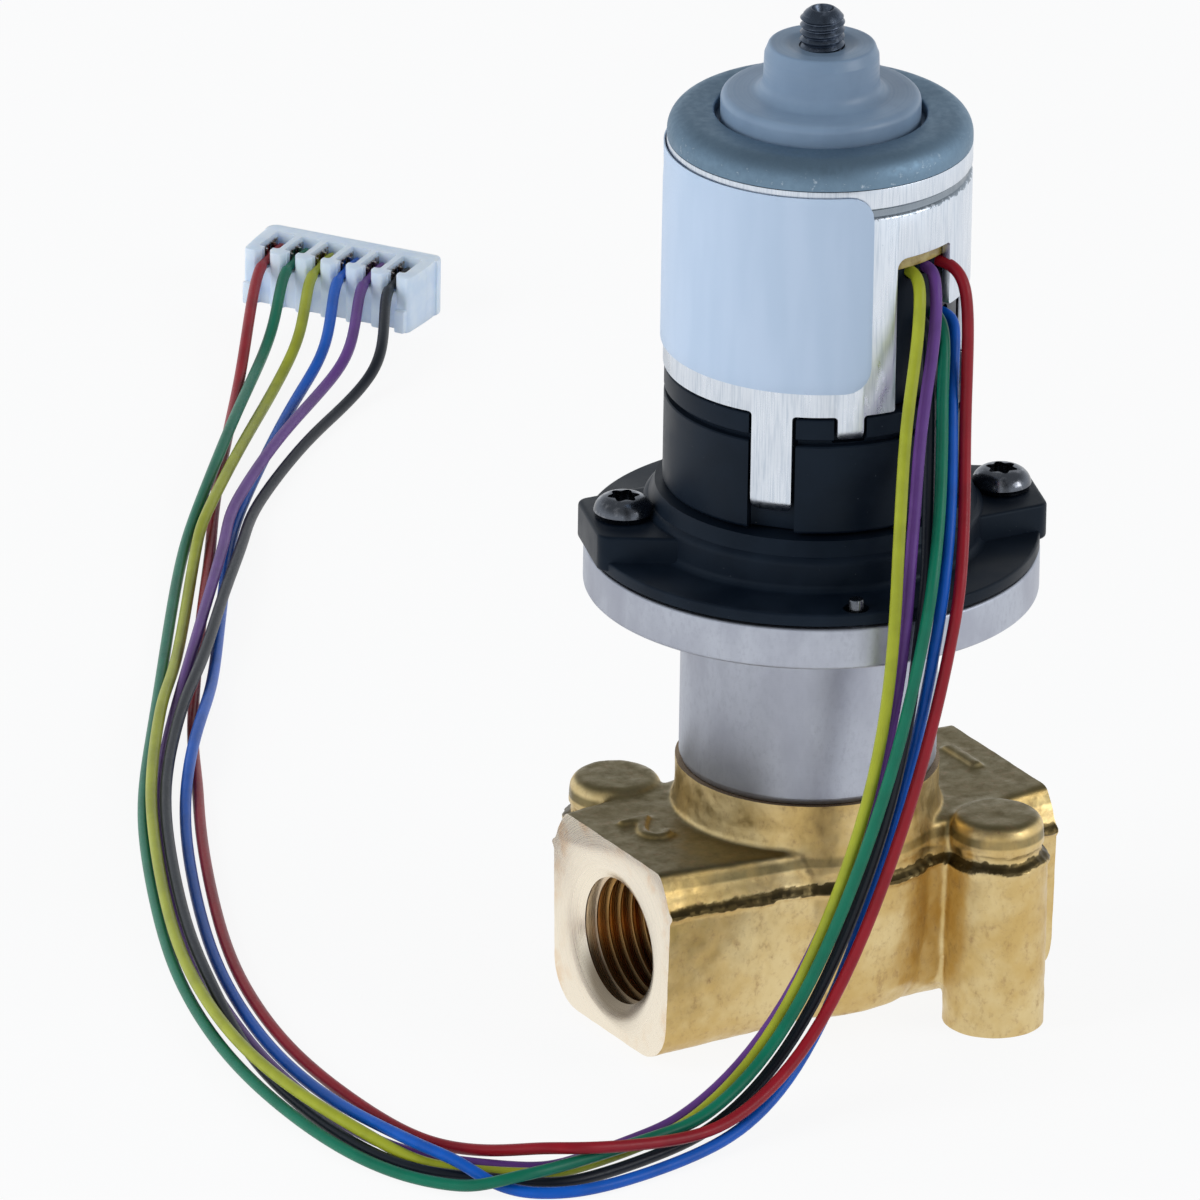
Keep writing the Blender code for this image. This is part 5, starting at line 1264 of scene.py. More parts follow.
@dataclass
class Leads:
    """Six thin leads from the window to the connector, each a smooth curve along its route."""

    radius: float = 0.4
    streak: float = 0.82
    steps: int = 8
    neck_radius: float = 0.72
    neck_length: float = 1.1
    neck_start: float = 2.35
    colours: dict[str, Colour] = field(
        default_factory=lambda: {
            "lead_red": (0.3, 0.006, 0.016),
            "lead_green": (0.0, 0.16, 0.09),
            "lead_yellow": (0.36, 0.4, 0.025),
            "lead_blue": (0.0, 0.1, 0.52),
            "lead_purple": (0.13, 0.045, 0.25),
            "lead_black": (0.006, 0.01, 0.018),
        }
    )

    def smooth(self, points: Sequence[Point]) -> list[Vector]:
        """Follows a route with a uniform cubic B-spline.

        Args:
            points: The route's points.

        Returns:
            Points on the curve.
        """
        route = [Vector(point) for point in points]
        route = [2.0 * route[0] - route[1], *route, 2.0 * route[-1] - route[-2]]
        line = []
        for p0, p1, p2, p3 in zip(route, route[1:], route[2:], route[3:]):
            for step in range(self.steps):
                t = step / self.steps
                w0 = (1.0 - t) ** 3 / 6.0
                w1 = (3.0 * t**3 - 6.0 * t**2 + 4.0) / 6.0
                w2 = (-3.0 * t**3 + 3.0 * t**2 + 3.0 * t + 1.0) / 6.0
                w3 = t**3 / 6.0
                line.append(p0 * w0 + p1 * w1 + p2 * w2 + p3 * w3)
        line.append(route[-2])
        return line

    def squeeze(self, left: float) -> float:
        """How much the connector's neck and the sleeve's rounded tip narrow a lead.

        Args:
            left: Length that is left to the lead's tip.

        Returns:
            Share of the plain radius.
        """
        if left < 0.3:
            return max(0.3, math.sqrt(1.0 - (1.0 - left / 0.3) ** 2))
        away = abs(left - self.neck_start - self.neck_length / 2.0) - self.neck_length / 2.0
        share = min(1.0, max(0.0, away / 0.35))
        return self.neck_radius + (1.0 - self.neck_radius) * share * share * (3.0 - 2.0 * share)

    def build(self, shared: Sequence[Piece], contacts: dict[str, Piece]) -> None:
        """Lays the leads.

        Args:
            shared: Pieces at the far end that belong to the first lead. Not used.
            contacts: The contact that each lead ends in. Not used.
        """
        for number, (name, points) in enumerate(ROUTES.items()):
            line = self.smooth(points)
            left = [0.0]
            for here, there in zip(reversed(line), list(reversed(line))[1:]):
                left.append(left[-1] + (here - there).length)
            left.reverse()
            curve = bpy.data.curves.new(f"{name}_sleeve", "CURVE")
            curve.dimensions = "3D"
            spline = curve.splines.new("POLY")
            spline.points.add(len(line) - 1)
            for slot, point, rest in zip(spline.points, line, left):
                slot.co = (*(point * MM), 1.0)
                slot.radius = self.squeeze(rest)
            curve.bevel_depth = self.radius * MM
            curve.bevel_resolution = 5
            curve.use_fill_caps = True
            colour = self.colours[name]
            darker = tuple(value * self.streak for value in colour)
            curve.materials.append(Sleeve(f"{name} sleeve", colour, other=darker).material())
            made = linked(f"{name}_sleeve", curve)
            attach(made, Body.VALVE.value)
            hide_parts(name)


@dataclass
class Connector:
    """The six-way connector that lies on its side, with a tinned contact round each lead."""

    place: tuple[float, float] = (35.7, 119.4)
    turn: float = -56.8
    pitch: float = 2.0
    ways: int = 6
    end: float = 1.9
    depth: float = 5.2
    height: float = 4.2
    pocket_width: float = 1.56
    pocket_floor: float = 2.6
    pocket_length: float = 3.9
    contact_width: float = 1.36
    contact_wall: float = 0.13
    contact_height: float = 1.2
    contact_length: float = 2.4

    def frame(self) -> Matrix:
        """Carries the connector's own frame to its place: its pins run along Y and its ways along X."""
        x, y = self.place
        return Matrix.Translation((x, y, 0.0)) @ Matrix.Rotation(math.radians(self.turn), 4, "Z")

    def across(self) -> list[float]:
        """The place of each way along the connector."""
        return [(i - (self.ways - 1) / 2.0) * self.pitch for i in range(self.ways)]

    def housing(self) -> Piece:
        """Moulds the housing: rounded far corners, pockets, necks between lobes, and square sockets.

        Returns:
            The housing.
        """
        half = (self.ways - 1) * self.pitch / 2.0 + self.end
        rear = -self.depth / 2.0
        front = self.depth / 2.0
        outline: list[Corner] = [(half, front, 0.7), (-half, front, 0.7)]
        outline += [(-half + 0.35, rear + 0.35, 0.3), (-half + 0.5, rear, 0.2)]
        for x in self.across():
            outline += [(x - 0.62, rear, 0.25), (x - 0.4, rear + 0.5, 0.12)]
            outline += [(x + 0.4, rear + 0.5, 0.12), (x + 0.62, rear, 0.25)]
        outline += [(half - 0.5, rear, 0.2), (half - 0.35, rear + 0.35, 0.3)]
        body = softened(raised(filleted(outline, 4), 0.0, self.height), 0.14, 50.0)
        top = self.height + 1.0
        deep, long = self.pocket_floor, self.pocket_length - 1.0
        middle = rear + 1.0 + long / 2.0
        cuts = []
        for x in self.across():
            pocket = slab((self.pocket_width, long, top - deep), (x, middle, (top + deep) / 2.0))
            neck = slab((0.66, 2.4, top - deep - 0.2), (x, rear + 0.6, (top + deep + 0.2) / 2.0))
            socket = slab((0.9, 1.8, 0.9), (x, front, 1.4))
            window = slab((1.0, 1.5, 1.0), (x, front - 1.9, 0.0))
            cuts += take(softened(pocket, 0.2, 60.0), softened(neck, 0.15, 60.0))
            cuts += take(socket, softened(window, 0.12, 60.0))
        for side in (-1, 1):
            slot = slab((0.7, 1.6, self.height + 2.0), (side * (half + 0.12), front - 1.9, self.height / 2.0))
            lug = slab((0.8, 0.7, 1.7), (side * (half - 0.9), rear - 0.1, 0.95))
            cuts += take(softened(slot, 0.1, 60.0)) + join(softened(lug, 0.15, 60.0))
        made = moved(combined(body, cuts), self.frame())
        return publish("connector_moulding", made, NaturalNylon(), stands_for=("connector_housing",))

    def contact(self, number: int, x: float) -> Piece:
        """Folds one contact: a channel whose walls are slit and bent in over the lead.

        Args:
            number: Its number, from 1.
            x: Its place along the connector.

        Returns:
            The contact.
        """
        low = self.pocket_floor + 0.1
        rear = -self.depth / 2.0 + 1.25
        half = self.contact_width / 2.0
        wall = self.contact_wall
        top = low + self.contact_height
        outline = [
            (-half, low, 0.12), (half, low, 0.12), (half, top, 0.05), (half - wall, top, 0.0),
            (half - wall, low + wall, 0.08), (-half + wall, low + wall, 0.08),
            (-half + wall, top, 0.0), (-half, top, 0.05),
        ]
        channel = raised(filleted(outline, 3), rear, rear + self.contact_length)
        upright = Matrix(((1, 0, 0), (0, 0, 1), (0, 1, 0))).to_4x4()
        jaws = []
        for y in (0.25, 1.5):
            for side in (-1, 1):
                place = (x + side * (half - wall - 0.1), rear + y, low + 0.75)
                jaws.append(slab((0.3, 0.14, 0.75), place, side * 24.0))
        slits = [slab((3.0, 0.16, 1.0), (x, rear + y, low + 1.0)) for y in (0.55, 1.2, 1.85)]
        body = placed(moved(channel, upright), (x, 0.0, 0.0))
        bmesh.ops.recalc_face_normals(body, faces=body.faces)
        made = moved(combined(body, join(*jaws) + take(*slits)), self.frame())
        bmesh.ops.recalc_face_normals(made, faces=made.faces)
        node = f"terminal_{number}"
        return publish(
            f"contact_{number}", made, TinnedBronze(), stands_for=(node,), smooth=50.0
        )

    def build(self) -> tuple[Piece, dict[str, Piece]]:
        """Makes the housing and its contacts.

        Returns:
            The housing, and the contact of each lead.
        """
        contacts = {}
        for i, (name, x) in enumerate(zip(ROUTES, self.across())):
            contacts[name] = self.contact(i + 1, x)
        return self.housing(), contacts


@dataclass
class ValveBody:
    """The forged body: port bar, drum with its neck boss and two pillars on webs, all of it then machined."""

    reach: float = 15.0
    axis_height: float = 7.3
    parting: float = 11.75
    ridge_half: float = 0.42
    ridge_height: float = 0.26
    dip_above: float = 0.72
    dip_half: float = 0.5
    dip_depth: float = 0.22
    boss_top: float = 17.6
    pillar: tuple[float, float] = (9.3, -8.9)
    voxel: float = 0.19
    number_size: float = 5.1
    number_height: float = 0.62
    smoothing: int = 5
    thread_core: float = 4.28
    thread_crest: float = 4.87
    thread_pitch: float = 0.907
    bore_depth: float = 7.7

    def bar(self) -> Solid:
        """Forges the port bar, whose sides swell towards the middle.

        Returns:
            The bar.
        """
        half = [(-5.9, 14.4, 0.6), (-7.3, 12.1, 0.2), (-6.9, 0.8, 3.0)]
        outline = filleted(half + [(-y, z, radius) for y, z, radius in reversed(half)])
        bm = raised(outline, -self.reach - 0.6, self.reach + 0.6)
        moved(bm, Matrix(((0, 0, 1), (1, 0, 0), (0, 1, 0))).to_4x4())
        for x in range(-14, 15):
            split(bm, (x, 0, 0), (1, 0, 0))
        for vert in bm.verts:
            inward = max(0.0, self.reach - abs(vert.co.x))
            high = min(1.0, max(0.0, (vert.co.z - 12.1) / 2.3))
            low = max(0.0, 1.0 - vert.co.z / 8.0)
            vert.co.y *= 1.0 + inward * (0.0117 - 0.006 * low + 0.0135 * high)
            vert.co.z += 0.035 * inward * low
        bmesh.ops.recalc_face_normals(bm, faces=bm.faces)
        return bm

    def post(self, side: int) -> Solid:
        """Forges one pillar with a softly domed top.

        Args:
            side: 1 for the pillar near port 1, -1 for the other.

        Returns:
            The pillar.
        """
        profile = [
            (0.0, 14.85), (2.45, 14.8), (2.85, 14.55), (3.05, 14.1), (3.1, 13.4), (3.14, 12.2), (3.38, 11.6),
            (3.38, 5.0), (3.35, -0.6), (0.0, -0.6),
        ]
        x, y = self.pillar
        return placed(spun(profile, ROUND), (x * side, y * side, 0.0))

    def web(self, side: int) -> Solid:
        """Forges the web that joins a pillar to the drum.

        Args:
            side: 1 for the pillar with positive coordinates, -1 for the other.

        Returns:
            The web.
        """
        x, y = self.pillar
        reach = math.hypot(x, y)
        turn = math.degrees(math.atan2(y * side, x * side))
        return slab((reach - 4.0, 2.6, 10.2), turned(turn, reach / 2.0 + 2.0, 7.8), turn)

    def skin(self) -> Solid:
        """Joins the forged shapes into one skin with soft corners.

        Returns:
            The skin, without what is machined.
        """
        drum = [
            (0.0, 18.4), (8.74, 18.4), (8.72, 15.6), (8.95, 14.2), (9.3, 12.2), (9.3, 11.4), (9.05, 7.0),
            (8.6, 3.6), (7.9, 2.2), (6.8, 1.6), (0.0, 1.6),
        ]
        joins = join(spun(drum))
        for side in (1, -1):
            joins += join(self.web(side), self.post(side))
        joins += join(self.number("1", 12.7, 0.13), self.number("2", -11.85, 0.05))
        made = loose(combined(self.bar(), joins))
        remesh = made.modifiers.new("skin", "REMESH")
        remesh.mode = "VOXEL"
        remesh.voxel_size = self.voxel
        smooth = made.modifiers.new("soften", "SMOOTH")
        smooth.factor = 0.5
        smooth.iterations = self.smoothing
        bm = settled(made)
        self.press(bm)
        return bm

    def press(self, bm: Solid) -> None:
        """Raises the ragged fin of metal where the dies met, dips the skin above it, waves it a little, and
        marks the ledge for painted shade.

        Args:
            bm: The skin, which is changed.
        """
        flash_shade = bm.verts.layers.float.new("flash_shade")
        bm.normal_update()
        shifts = []
        apart = Vector((7.0, 0.0, 0.0))
        for vert in bm.verts:
            point = vert.co
            wander = 0.22 * noise.noise(point * 0.45) + 0.09 * noise.noise(point * 2.1 + apart)
            away = point.z - (self.parting + wander)
            flat = 1.0 - min(1.0, abs(vert.normal.z) * 1.2)
            ragged = 0.12 * noise.noise(point * 2.6)
            ridge = max(0.0, 1.0 - (away / self.ridge_half) ** 2) ** 2 * flat
            dip = max(0.0, 1.0 - ((away - self.dip_above) / self.dip_half) ** 2) * flat
            ledge = max(0.0, min(1.0, (away + 0.12) / 0.12, (self.dip_above + ragged - away) / 0.14))
            rough = noise.noise(point * 0.8) * 0.04 + noise.noise(point * 3.0) * 0.012
            # This value marks the ledge along the parting line, which the brass finish darkens as painted
            # shade under the fin.
            vert[flash_shade] = ledge * max(flat, 0.6 if ridge > 0.0 else 0.0)
            rise = ridge * (self.ridge_height + ragged) - dip * self.dip_depth
            shifts.append(vert.normal * (rise + rough))
        for vert, shift in zip(bm.verts, shifts):
            vert.co += shift

    def port(self, side: int) -> Solid:
        """The tool that cuts a port: countersink, threaded bore and drill point.

        Args:
            side: 1 for port 1, -1 for port 2.

        Returns:
            The cutter.
        """
        root = self.reach - self.bore_depth
        profile = [(0.0, self.reach + 1.0), (6.4, self.reach + 1.0)]
        profile += [(5.42, self.reach), (4.62, self.reach - 0.4)]
        core, crest, pitch = self.thread_core, self.thread_crest, self.thread_pitch
        height = self.reach - 0.3
        while height - pitch > root + 0.6:
            profile += [(core, height - 0.36 * pitch), (core, height - 0.46 * pitch)]
            profile += [(crest - 0.03, height - 0.92 * pitch), (crest, height - 0.97 * pitch)]
            height -= pitch
        profile += [(core, height - 0.3), (core, root), (0.55, root - 1.2), (0.0, root - 1.2)]
        turn = Matrix.Rotation(math.radians(90.0 * side), 4, "Y")
        return moved(spun(profile, ROUND), Matrix.Translation((0.0, 0.0, self.axis_height)) @ turn)

    def machined(self) -> list[Step]:
        """Every tool that machines the forging.

        Returns:
            The cutters.
        """
        far = self.reach + 2.0
        x, y = self.pillar
        axis = self.axis_height
        hole = [(0.0, 8.6), (1.65, 8.0), (1.65, 0.35), (1.95, 0.0), (1.95, -1.5), (0.0, -1.5)]
        tools = [self.port(1), self.port(-1)]
        for side in (1, -1):
            tools.append(slab((4.0, 40.0, 40.0), (side * far, 0.0, 8.0)))
            tools.append(placed(spun(hole, SMALL), (x * side, y * side, 0.0)))
        tools.append(slab((60.0, 60.0, 4.0), (0.0, 0.0, -2.0)))
        tools.append(slab((60.0, 60.0, 4.0), (0.0, 0.0, self.boss_top + 2.0)))
        chamber = [(0.0, 19.0), (6.1, 19.0), (6.1, 9.8), (2.8, 9.8)]
        chamber += [(2.8, 8.5), (1.5, 8.5), (1.5, 7.3), (0.0, 7.3)]
        tools.append(spun(chamber, ROUND))
        inner = self.reach - self.bore_depth
        tools.append(rod(1.1, (-inner, 0, axis), (0.4, 0, axis)))
        tools.append(rod(1.1, (4.7, 0, axis), (inner, 0, axis)))
        tools.append(rod(0.95, (4.9, 0, axis), (4.9, 0, 10.8)))
        return take(*tools)

    def cut_face(self, face: bmesh.types.BMFace) -> bool:
        """Whether a face was machined, by where it lies.

        Args:
            face: The face.

        Returns:
            True for a machined face.
        """
        centre = face.calc_center_median()
        if abs(centre.x) > self.reach - 0.01:
            return True
        if centre.z < 0.01:
            return True
        within = math.hypot(centre.y, centre.z - self.axis_height) < 5.5 and abs(centre.x) > self.reach - 8.9
        return within or (math.hypot(centre.x, centre.y) < 6.2 and centre.z > 7.0)

    def number(self, digit: str, x: float, weight: float) -> Solid:
        """Raises a port's number on the bar's top, with its foot towards the back.

        Args:
            digit: The number.
            x: How far along the bar it stands.
            weight: How much its strokes are thickened.

        Returns:
            The number.
        """
        curve = bpy.data.curves.new("digit", "FONT")
        curve.body = digit
        curve.size = self.number_size
        curve.align_x = "CENTER"
        curve.align_y = "CENTER"
        curve.offset = weight
        curve.extrude = self.number_height / 2.0
        bm = settled(linked("digit", curve))
        bmesh.ops.remove_doubles(bm, verts=bm.verts, dist=0.001)
        return placed(bm, (x, 1.0, 14.45), 180.0)

    def build(self) -> None:
        """Forges and machines the body."""
        made = combined(self.skin(), self.machined())
        for face in made.faces:
            face.material_index = 1 if self.cut_face(face) else 0
        publish(
            "brass_body", made, ForgedBrass(),
            stands_for=("valve_body",), smooth=38.0, second=CutBrass(),
        )


@dataclass
class SteelTube:
    """The turned tube with its wide disc, spigot and gland."""

    neck: float = 8.5
    disc: float = 15.0
    disc_low: float = 30.0
    disc_high: float = 32.9

    def build(self) -> None:
        """Turns the tube."""
        profile: Profile = [(5.5, self.disc_high), (self.disc - 0.22, self.disc_high)]
        profile += arc((self.disc - 0.22, self.disc_high - 0.22), 0.22, 70.0, 0.0, 4)
        profile += arc((self.disc - 0.28, self.disc_low + 0.28), 0.28, 0.0, -90.0, 5)
        profile += arc((self.neck + 0.25, self.disc_low - 0.25), 0.25, 90.0, 180.0, 4)
        profile += [(self.neck, 18.1), (self.neck - 0.06, 17.95), (self.neck - 0.2, 17.62), (5.9, 17.62)]
        profile += [(5.9, 15.5), (4.8, 15.5), (4.8, 14.1), (5.9, 14.1), (5.9, 12.4), (5.7, 12.2), (4.1, 12.2)]
        profile += [(4.1, 26.6), (2.4, 26.6), (2.4, 28.6), (3.75, 28.6), (3.75, 31.6), (5.5, 31.6)]
        holes = [rod(1.2, (point.x, point.y, 30.8), (point.x, point.y, 34.0)) for point in screw_places()]
        pin = pin_place()
        holes.append(rod(0.7, (pin.x, pin.y, 31.45), (pin.x, pin.y, 34.0)))
        made = combined(spun(profile, FINE), take(*holes))
        publish("turned_tube", made, TurnedSteel(), stands_for=("flanged_tube",))


def screw_places() -> list[Vector]:
    """Where the two flange screws stand: right, then left."""
    return [turned(turn, EAR_REACH) for turn in EAR_TURNS]


def pin_place() -> Vector:
    """Where the locating pin stands."""
    return turned(PIN_TURN, PIN_REACH)


@dataclass
class MotorFlange:
    """The black moulded flange between disc and motor: thin plate, stepped boss and two screw ears."""

    reach: float = 15.3
    low: float = 33.1
    plate_top: float = 33.9
    ear_top: float = 35.7
    boss: float = 11.2

    def ear(self, turn: float) -> Solid:
        """Moulds one ear with drafted sides and rounded rims.

        Args:
            turn: The angle that it points to.

        Returns:
            The ear.
        """
        half = [(self.reach - 0.15, 3.35, 0.9), (8.6, 5.1, 0.0)]
        outline = filleted([(x, -y, radius) for x, y, radius in reversed(half)] + half, 6)
        bm = softened(raised(outline, self.low + 0.1, self.ear_top), 0.22, 60.0, 3)
        return placed(bm, (0.0, 0.0, 0.0), turn)

    def build(self) -> None:
        """Moulds the flange and drills it."""
        profile: Profile = [(10.4, 37.2), (10.5, 36.95)]
        profile += arc((self.boss - 0.6, 36.25 - 0.6), 0.6, 70.0, 0.0, 6)
        profile += arc((self.boss + 0.5, self.plate_top + 0.5), 0.5, 180.0, 270.0, 5)
        profile += arc((14.97 - 0.18, self.plate_top - 0.18), 0.18, 90.0, 0.0, 4)
        neck = [(4.0, 37.2), (4.0, 34.4), (2.4, 34.4), (2.4, 31.8), (5.3, 31.8), (5.3, self.low)]
        profile += [(14.97, self.low), *reversed(neck)]
        steps = join(*(self.ear(turn) for turn in EAR_TURNS))
        steps += take(rod(7.4, (0, 0, self.plate_top - 0.3), (0, 0, 40.0), FINE))
        steps += join(spun([*neck, (8.3, self.low), (8.3, 37.2)], FINE))
        dish = [(0.0, 38.0), (1.25, 38.0), (1.25, 35.7), (1.2, 35.6), (1.2, 32.0), (0.0, 32.0)]
        steps += take(*(placed(spun(dish, SMALL), point) for point in screw_places()))
        pin = pin_place()
        steps += take(rod(0.85, (pin.x, pin.y, 32.0), (pin.x, pin.y, 35.0)))
        made = combined(spun(profile, FINE), steps)
        publish("flange_moulding", made, Moulding(), stands_for=("motor_flange",))


@dataclass
class ReturnSpring:
    """The coil spring over the plunger's stem, wound at one length here; the real spring shortens as the
    spindle lifts the plunger.
    """

    radius: float = 3.3
    wire: float = 0.3
    turns: int = 5
    low: float = 17.0
    high: float = 26.1
    keep: float = 0.8

    def build(self) -> None:
        """Winds the spring, with its end turns closed."""
        curve = bpy.data.curves.new("coil", "CURVE")
        curve.dimensions = "3D"
        curve.bevel_depth = self.wire
        curve.bevel_resolution = 4
        curve.use_fill_caps = True
        count = 28 * self.turns
        line = curve.splines.new("POLY")
        line.points.add(count)
        for i, point in enumerate(line.points):
            share = i / count
            lift = share - math.sin(math.tau * share) / math.tau
            place = turned(360.0 * self.turns * share, self.radius, self.low + (self.high - self.low) * lift)
            point.co = (*place, 1.0)
        bm = settled(linked("coil", curve))
        bmesh.ops.remove_doubles(bm, verts=bm.verts, dist=0.0001)
        bmesh.ops.recalc_face_normals(bm, faces=bm.faces)
        finish = Speckled("spring wire", (0.42, 0.42, 0.44), 0.3, 1.0, (0.28, 0.28, 0.3), (0.1, 4.0, 0.6))
        made = publish("coil_spring", bm, finish, stands_for=("return_spring",))
        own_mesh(made)


@dataclass
class FlangeFixings:
    """The two pan-head screws with six-lobe sockets, and the locating pin."""

    head: float = 1.95
    head_low: float = 35.82
    head_high: float = 37.12
    shank: float = 1.0
    end: float = 31.0

    def socket(self) -> Solid:
        """The six-lobe socket, as a cutter about the screw's axis.

        Returns:
            The cutter.
        """
        outline = []
        for i in range(72):
            angle = math.tau * i / 72.0
            reach = 0.92 + 0.15 * math.cos(6.0 * angle)
            outline.append((reach * math.cos(angle), reach * math.sin(angle)))
        return raised(outline, self.head_high - 0.75, self.head_high + 1.0)

    def screw(self, name: str, node: str, place: Vector, turn: float) -> Piece:
        """Makes one screw.

        Args:
            name: Name of the piece.
            node: The node that it replaces.
            place: Where it stands.
            turn: How its socket is turned.

        Returns:
            The screw.
        """
        profile: Profile = [(0.0, self.head_high)]
        profile += arc((0.85, self.head_low + 0.15), 1.15, 82.0, 8.0, 12)
        profile += [(self.head, self.head_low + 0.25), (self.head - 0.06, self.head_low)]
        profile += [(self.shank + 0.1, self.head_low), (self.shank, self.head_low - 0.1)]
        profile += [(self.shank, self.end + 0.3), (self.shank - 0.3, self.end), (0.0, self.end)]
        made = placed(combined(spun(profile, ROUND), take(self.socket())), place, turn)
        return publish(name, made, PlatedScrew(), stands_for=(node,))

    def build(self) -> None:
        """Makes both screws and the pin."""
        right, left = screw_places()
        self.screw("screw_right", "flange_screw_right", right, 12.0)
        self.screw("screw_left", "flange_screw_left", left, 40.0)
        profile = [(0.0, 34.6), (0.36, 34.6), (0.46, 34.55), (0.5, 34.45)]
        profile += [(0.5, 31.8), (0.4, 31.65), (0.0, 31.65)]
        made = placed(spun(profile, SMALL), pin_place())
        publish("pin", made, PlatedScrew(), stands_for=("locating_pin",))


@dataclass
class FrontHousing:
    """The motor's black front cover with its split line and the recesses behind the can's straps and tabs."""

    radius: float = 9.9
    low: float = 37.4
    high: float = 45.5
    split: float = 43.6
    strap_low: float = 36.9
    tab_low: float = 43.7
    margin: float = 1.2

    def build(self) -> None:
        """Moulds the cover."""
        profile: Profile = arc((self.radius - 0.12, self.high - 0.12), 0.12, 90.0, 0.0, 3)
        profile += [(self.radius, self.split + 0.53), (self.radius - 0.08, self.split + 0.45)]
        profile += [(self.radius - 0.55, self.split + 0.45), (self.radius - 0.55, self.split)]
        profile += [(self.radius - 0.08, self.split), (self.radius, self.split - 0.08)]
        profile += arc((self.radius - 0.3, self.low + 0.3), 0.3, 0.0, -90.0, 5)
        profile += [(3.8, self.low), (3.8, 38.4), (6.3, 38.4), (6.3, self.high)]
        cuts = []
        top = self.high + 1.0
        for places, low in ((STRAPS, self.strap_low), (TABS, self.tab_low)):
            for turn, half in places:
                width = 2.0 * 10.0 * math.sin(math.radians(half + self.margin))
                box = slab((2.4, width, top - low), turned(turn, 10.1, (top + low) / 2.0), turn)
                cuts += take(softened(box, 0.1, 60.0))
        made = combined(spun(profile, FINE), cuts)
        publish("front_cover", made, Moulding(), stands_for=("front_housing",))


@dataclass
class Wrapped:
    """Sheet that is cut flat, with a wall thickness, and then rolled about the axis."""

    radius: float
    wall: float
    step: float = 2.0
    near: float = 0.001

    def blank(self, corners: Sequence[Corner], seam: bool, edge: float) -> Solid:
        """Cuts the blank.

        Args:
            corners: (angle in degrees, height, corner radius) of the outline.
            seam: Whether its two sides meet when it is rolled.
            edge: Width of its rounded rims.

        Returns:
            The flat blank: length along X, height along Y, and its outer face at Z = 0.
        """
        scale = math.radians(1.0) * self.radius
        outline = filleted([(angle * scale, height, rounding) for angle, height, rounding in corners], 5)
        bm = raised(outline, -self.wall, 0.0)
        if edge > 0.0:
            rims = [rim for rim in bm.edges if self.is_rim(rim, outline, seam)]
            bmesh.ops.bevel(
                bm, geom=rims, offset=edge, segments=2, profile=0.5, affect="EDGES", material=-1,
                clamp_overlap=True,
            )
        return bm

    def is_rim(self, edge: bmesh.types.BMEdge, outline: Profile, seam: bool) -> bool:
        """Whether an edge of the blank runs along a face's rim and isn't at the seam.

        Args:
            edge: The edge.
            outline: Outline of the blank.
            seam: Whether the ends meet at a seam.

        Returns:
            True for an edge that is rounded.
        """
        if len(edge.link_faces) != 2 or edge.calc_face_angle() < math.radians(60.0):
            return False
        xs = [vert.co.x for vert in edge.verts]
        at_start = max(xs) < min(x for x, _ in outline) + self.near
        at_end = min(xs) > max(x for x, _ in outline) - self.near
        if seam and (at_start or at_end):
            return False
        return abs(edge.verts[0].co.z - edge.verts[1].co.z) <= self.near

    def span(self, bm: Solid) -> tuple[float, float]:
        """Where a blank starts and ends along its length."""
        return min(vert.co.x for vert in bm.verts), max(vert.co.x for vert in bm.verts)

    def slice(self, bm: Solid, heights: Sequence[float]) -> None:
        """Cuts a blank into strips that are narrow enough to roll, and at given heights.

        Args:
            bm: The blank.
            heights: Heights at which it's also cut.
        """
        low, high = self.span(bm)
        count = math.ceil((high - low) / (math.radians(self.step) * self.radius))
        for i in range(1, count):
            split(bm, (low + (high - low) * i / count, 0, 0), (1, 0, 0), 0.0005)
        for height in heights:
            split(bm, (0, height, 0), (0, 1, 0), 0.0005)

    def roll(self, bm: Solid, sink: Any = None) -> Solid:
        """Rolls a blank about the axis.

        Args:
            bm: The blank, which is changed.
            sink: Function of (angle in degrees, height) that gives how far the sheet is pressed in.

        Returns:
            The rolled sheet.
        """
        low, high = self.span(bm)
        if high - low > math.tau * self.radius - 0.01:
            ends = []
            for face in bm.faces:
                xs = [vert.co.x for vert in face.verts]
                if max(xs) < low + self.near or min(xs) > high - self.near:
                    ends.append(face)
            bmesh.ops.delete(bm, geom=ends, context="FACES")
        for vert in bm.verts:
            angle = math.degrees(vert.co.x / self.radius)
            depth = sink(angle, vert.co.y) if sink else 0.0
            vert.co = turned(angle, self.radius + vert.co.z - depth, vert.co.y)
        bmesh.ops.remove_doubles(bm, verts=bm.verts, dist=self.near)
        bmesh.ops.recalc_face_normals(bm, faces=bm.faces)
        return bm


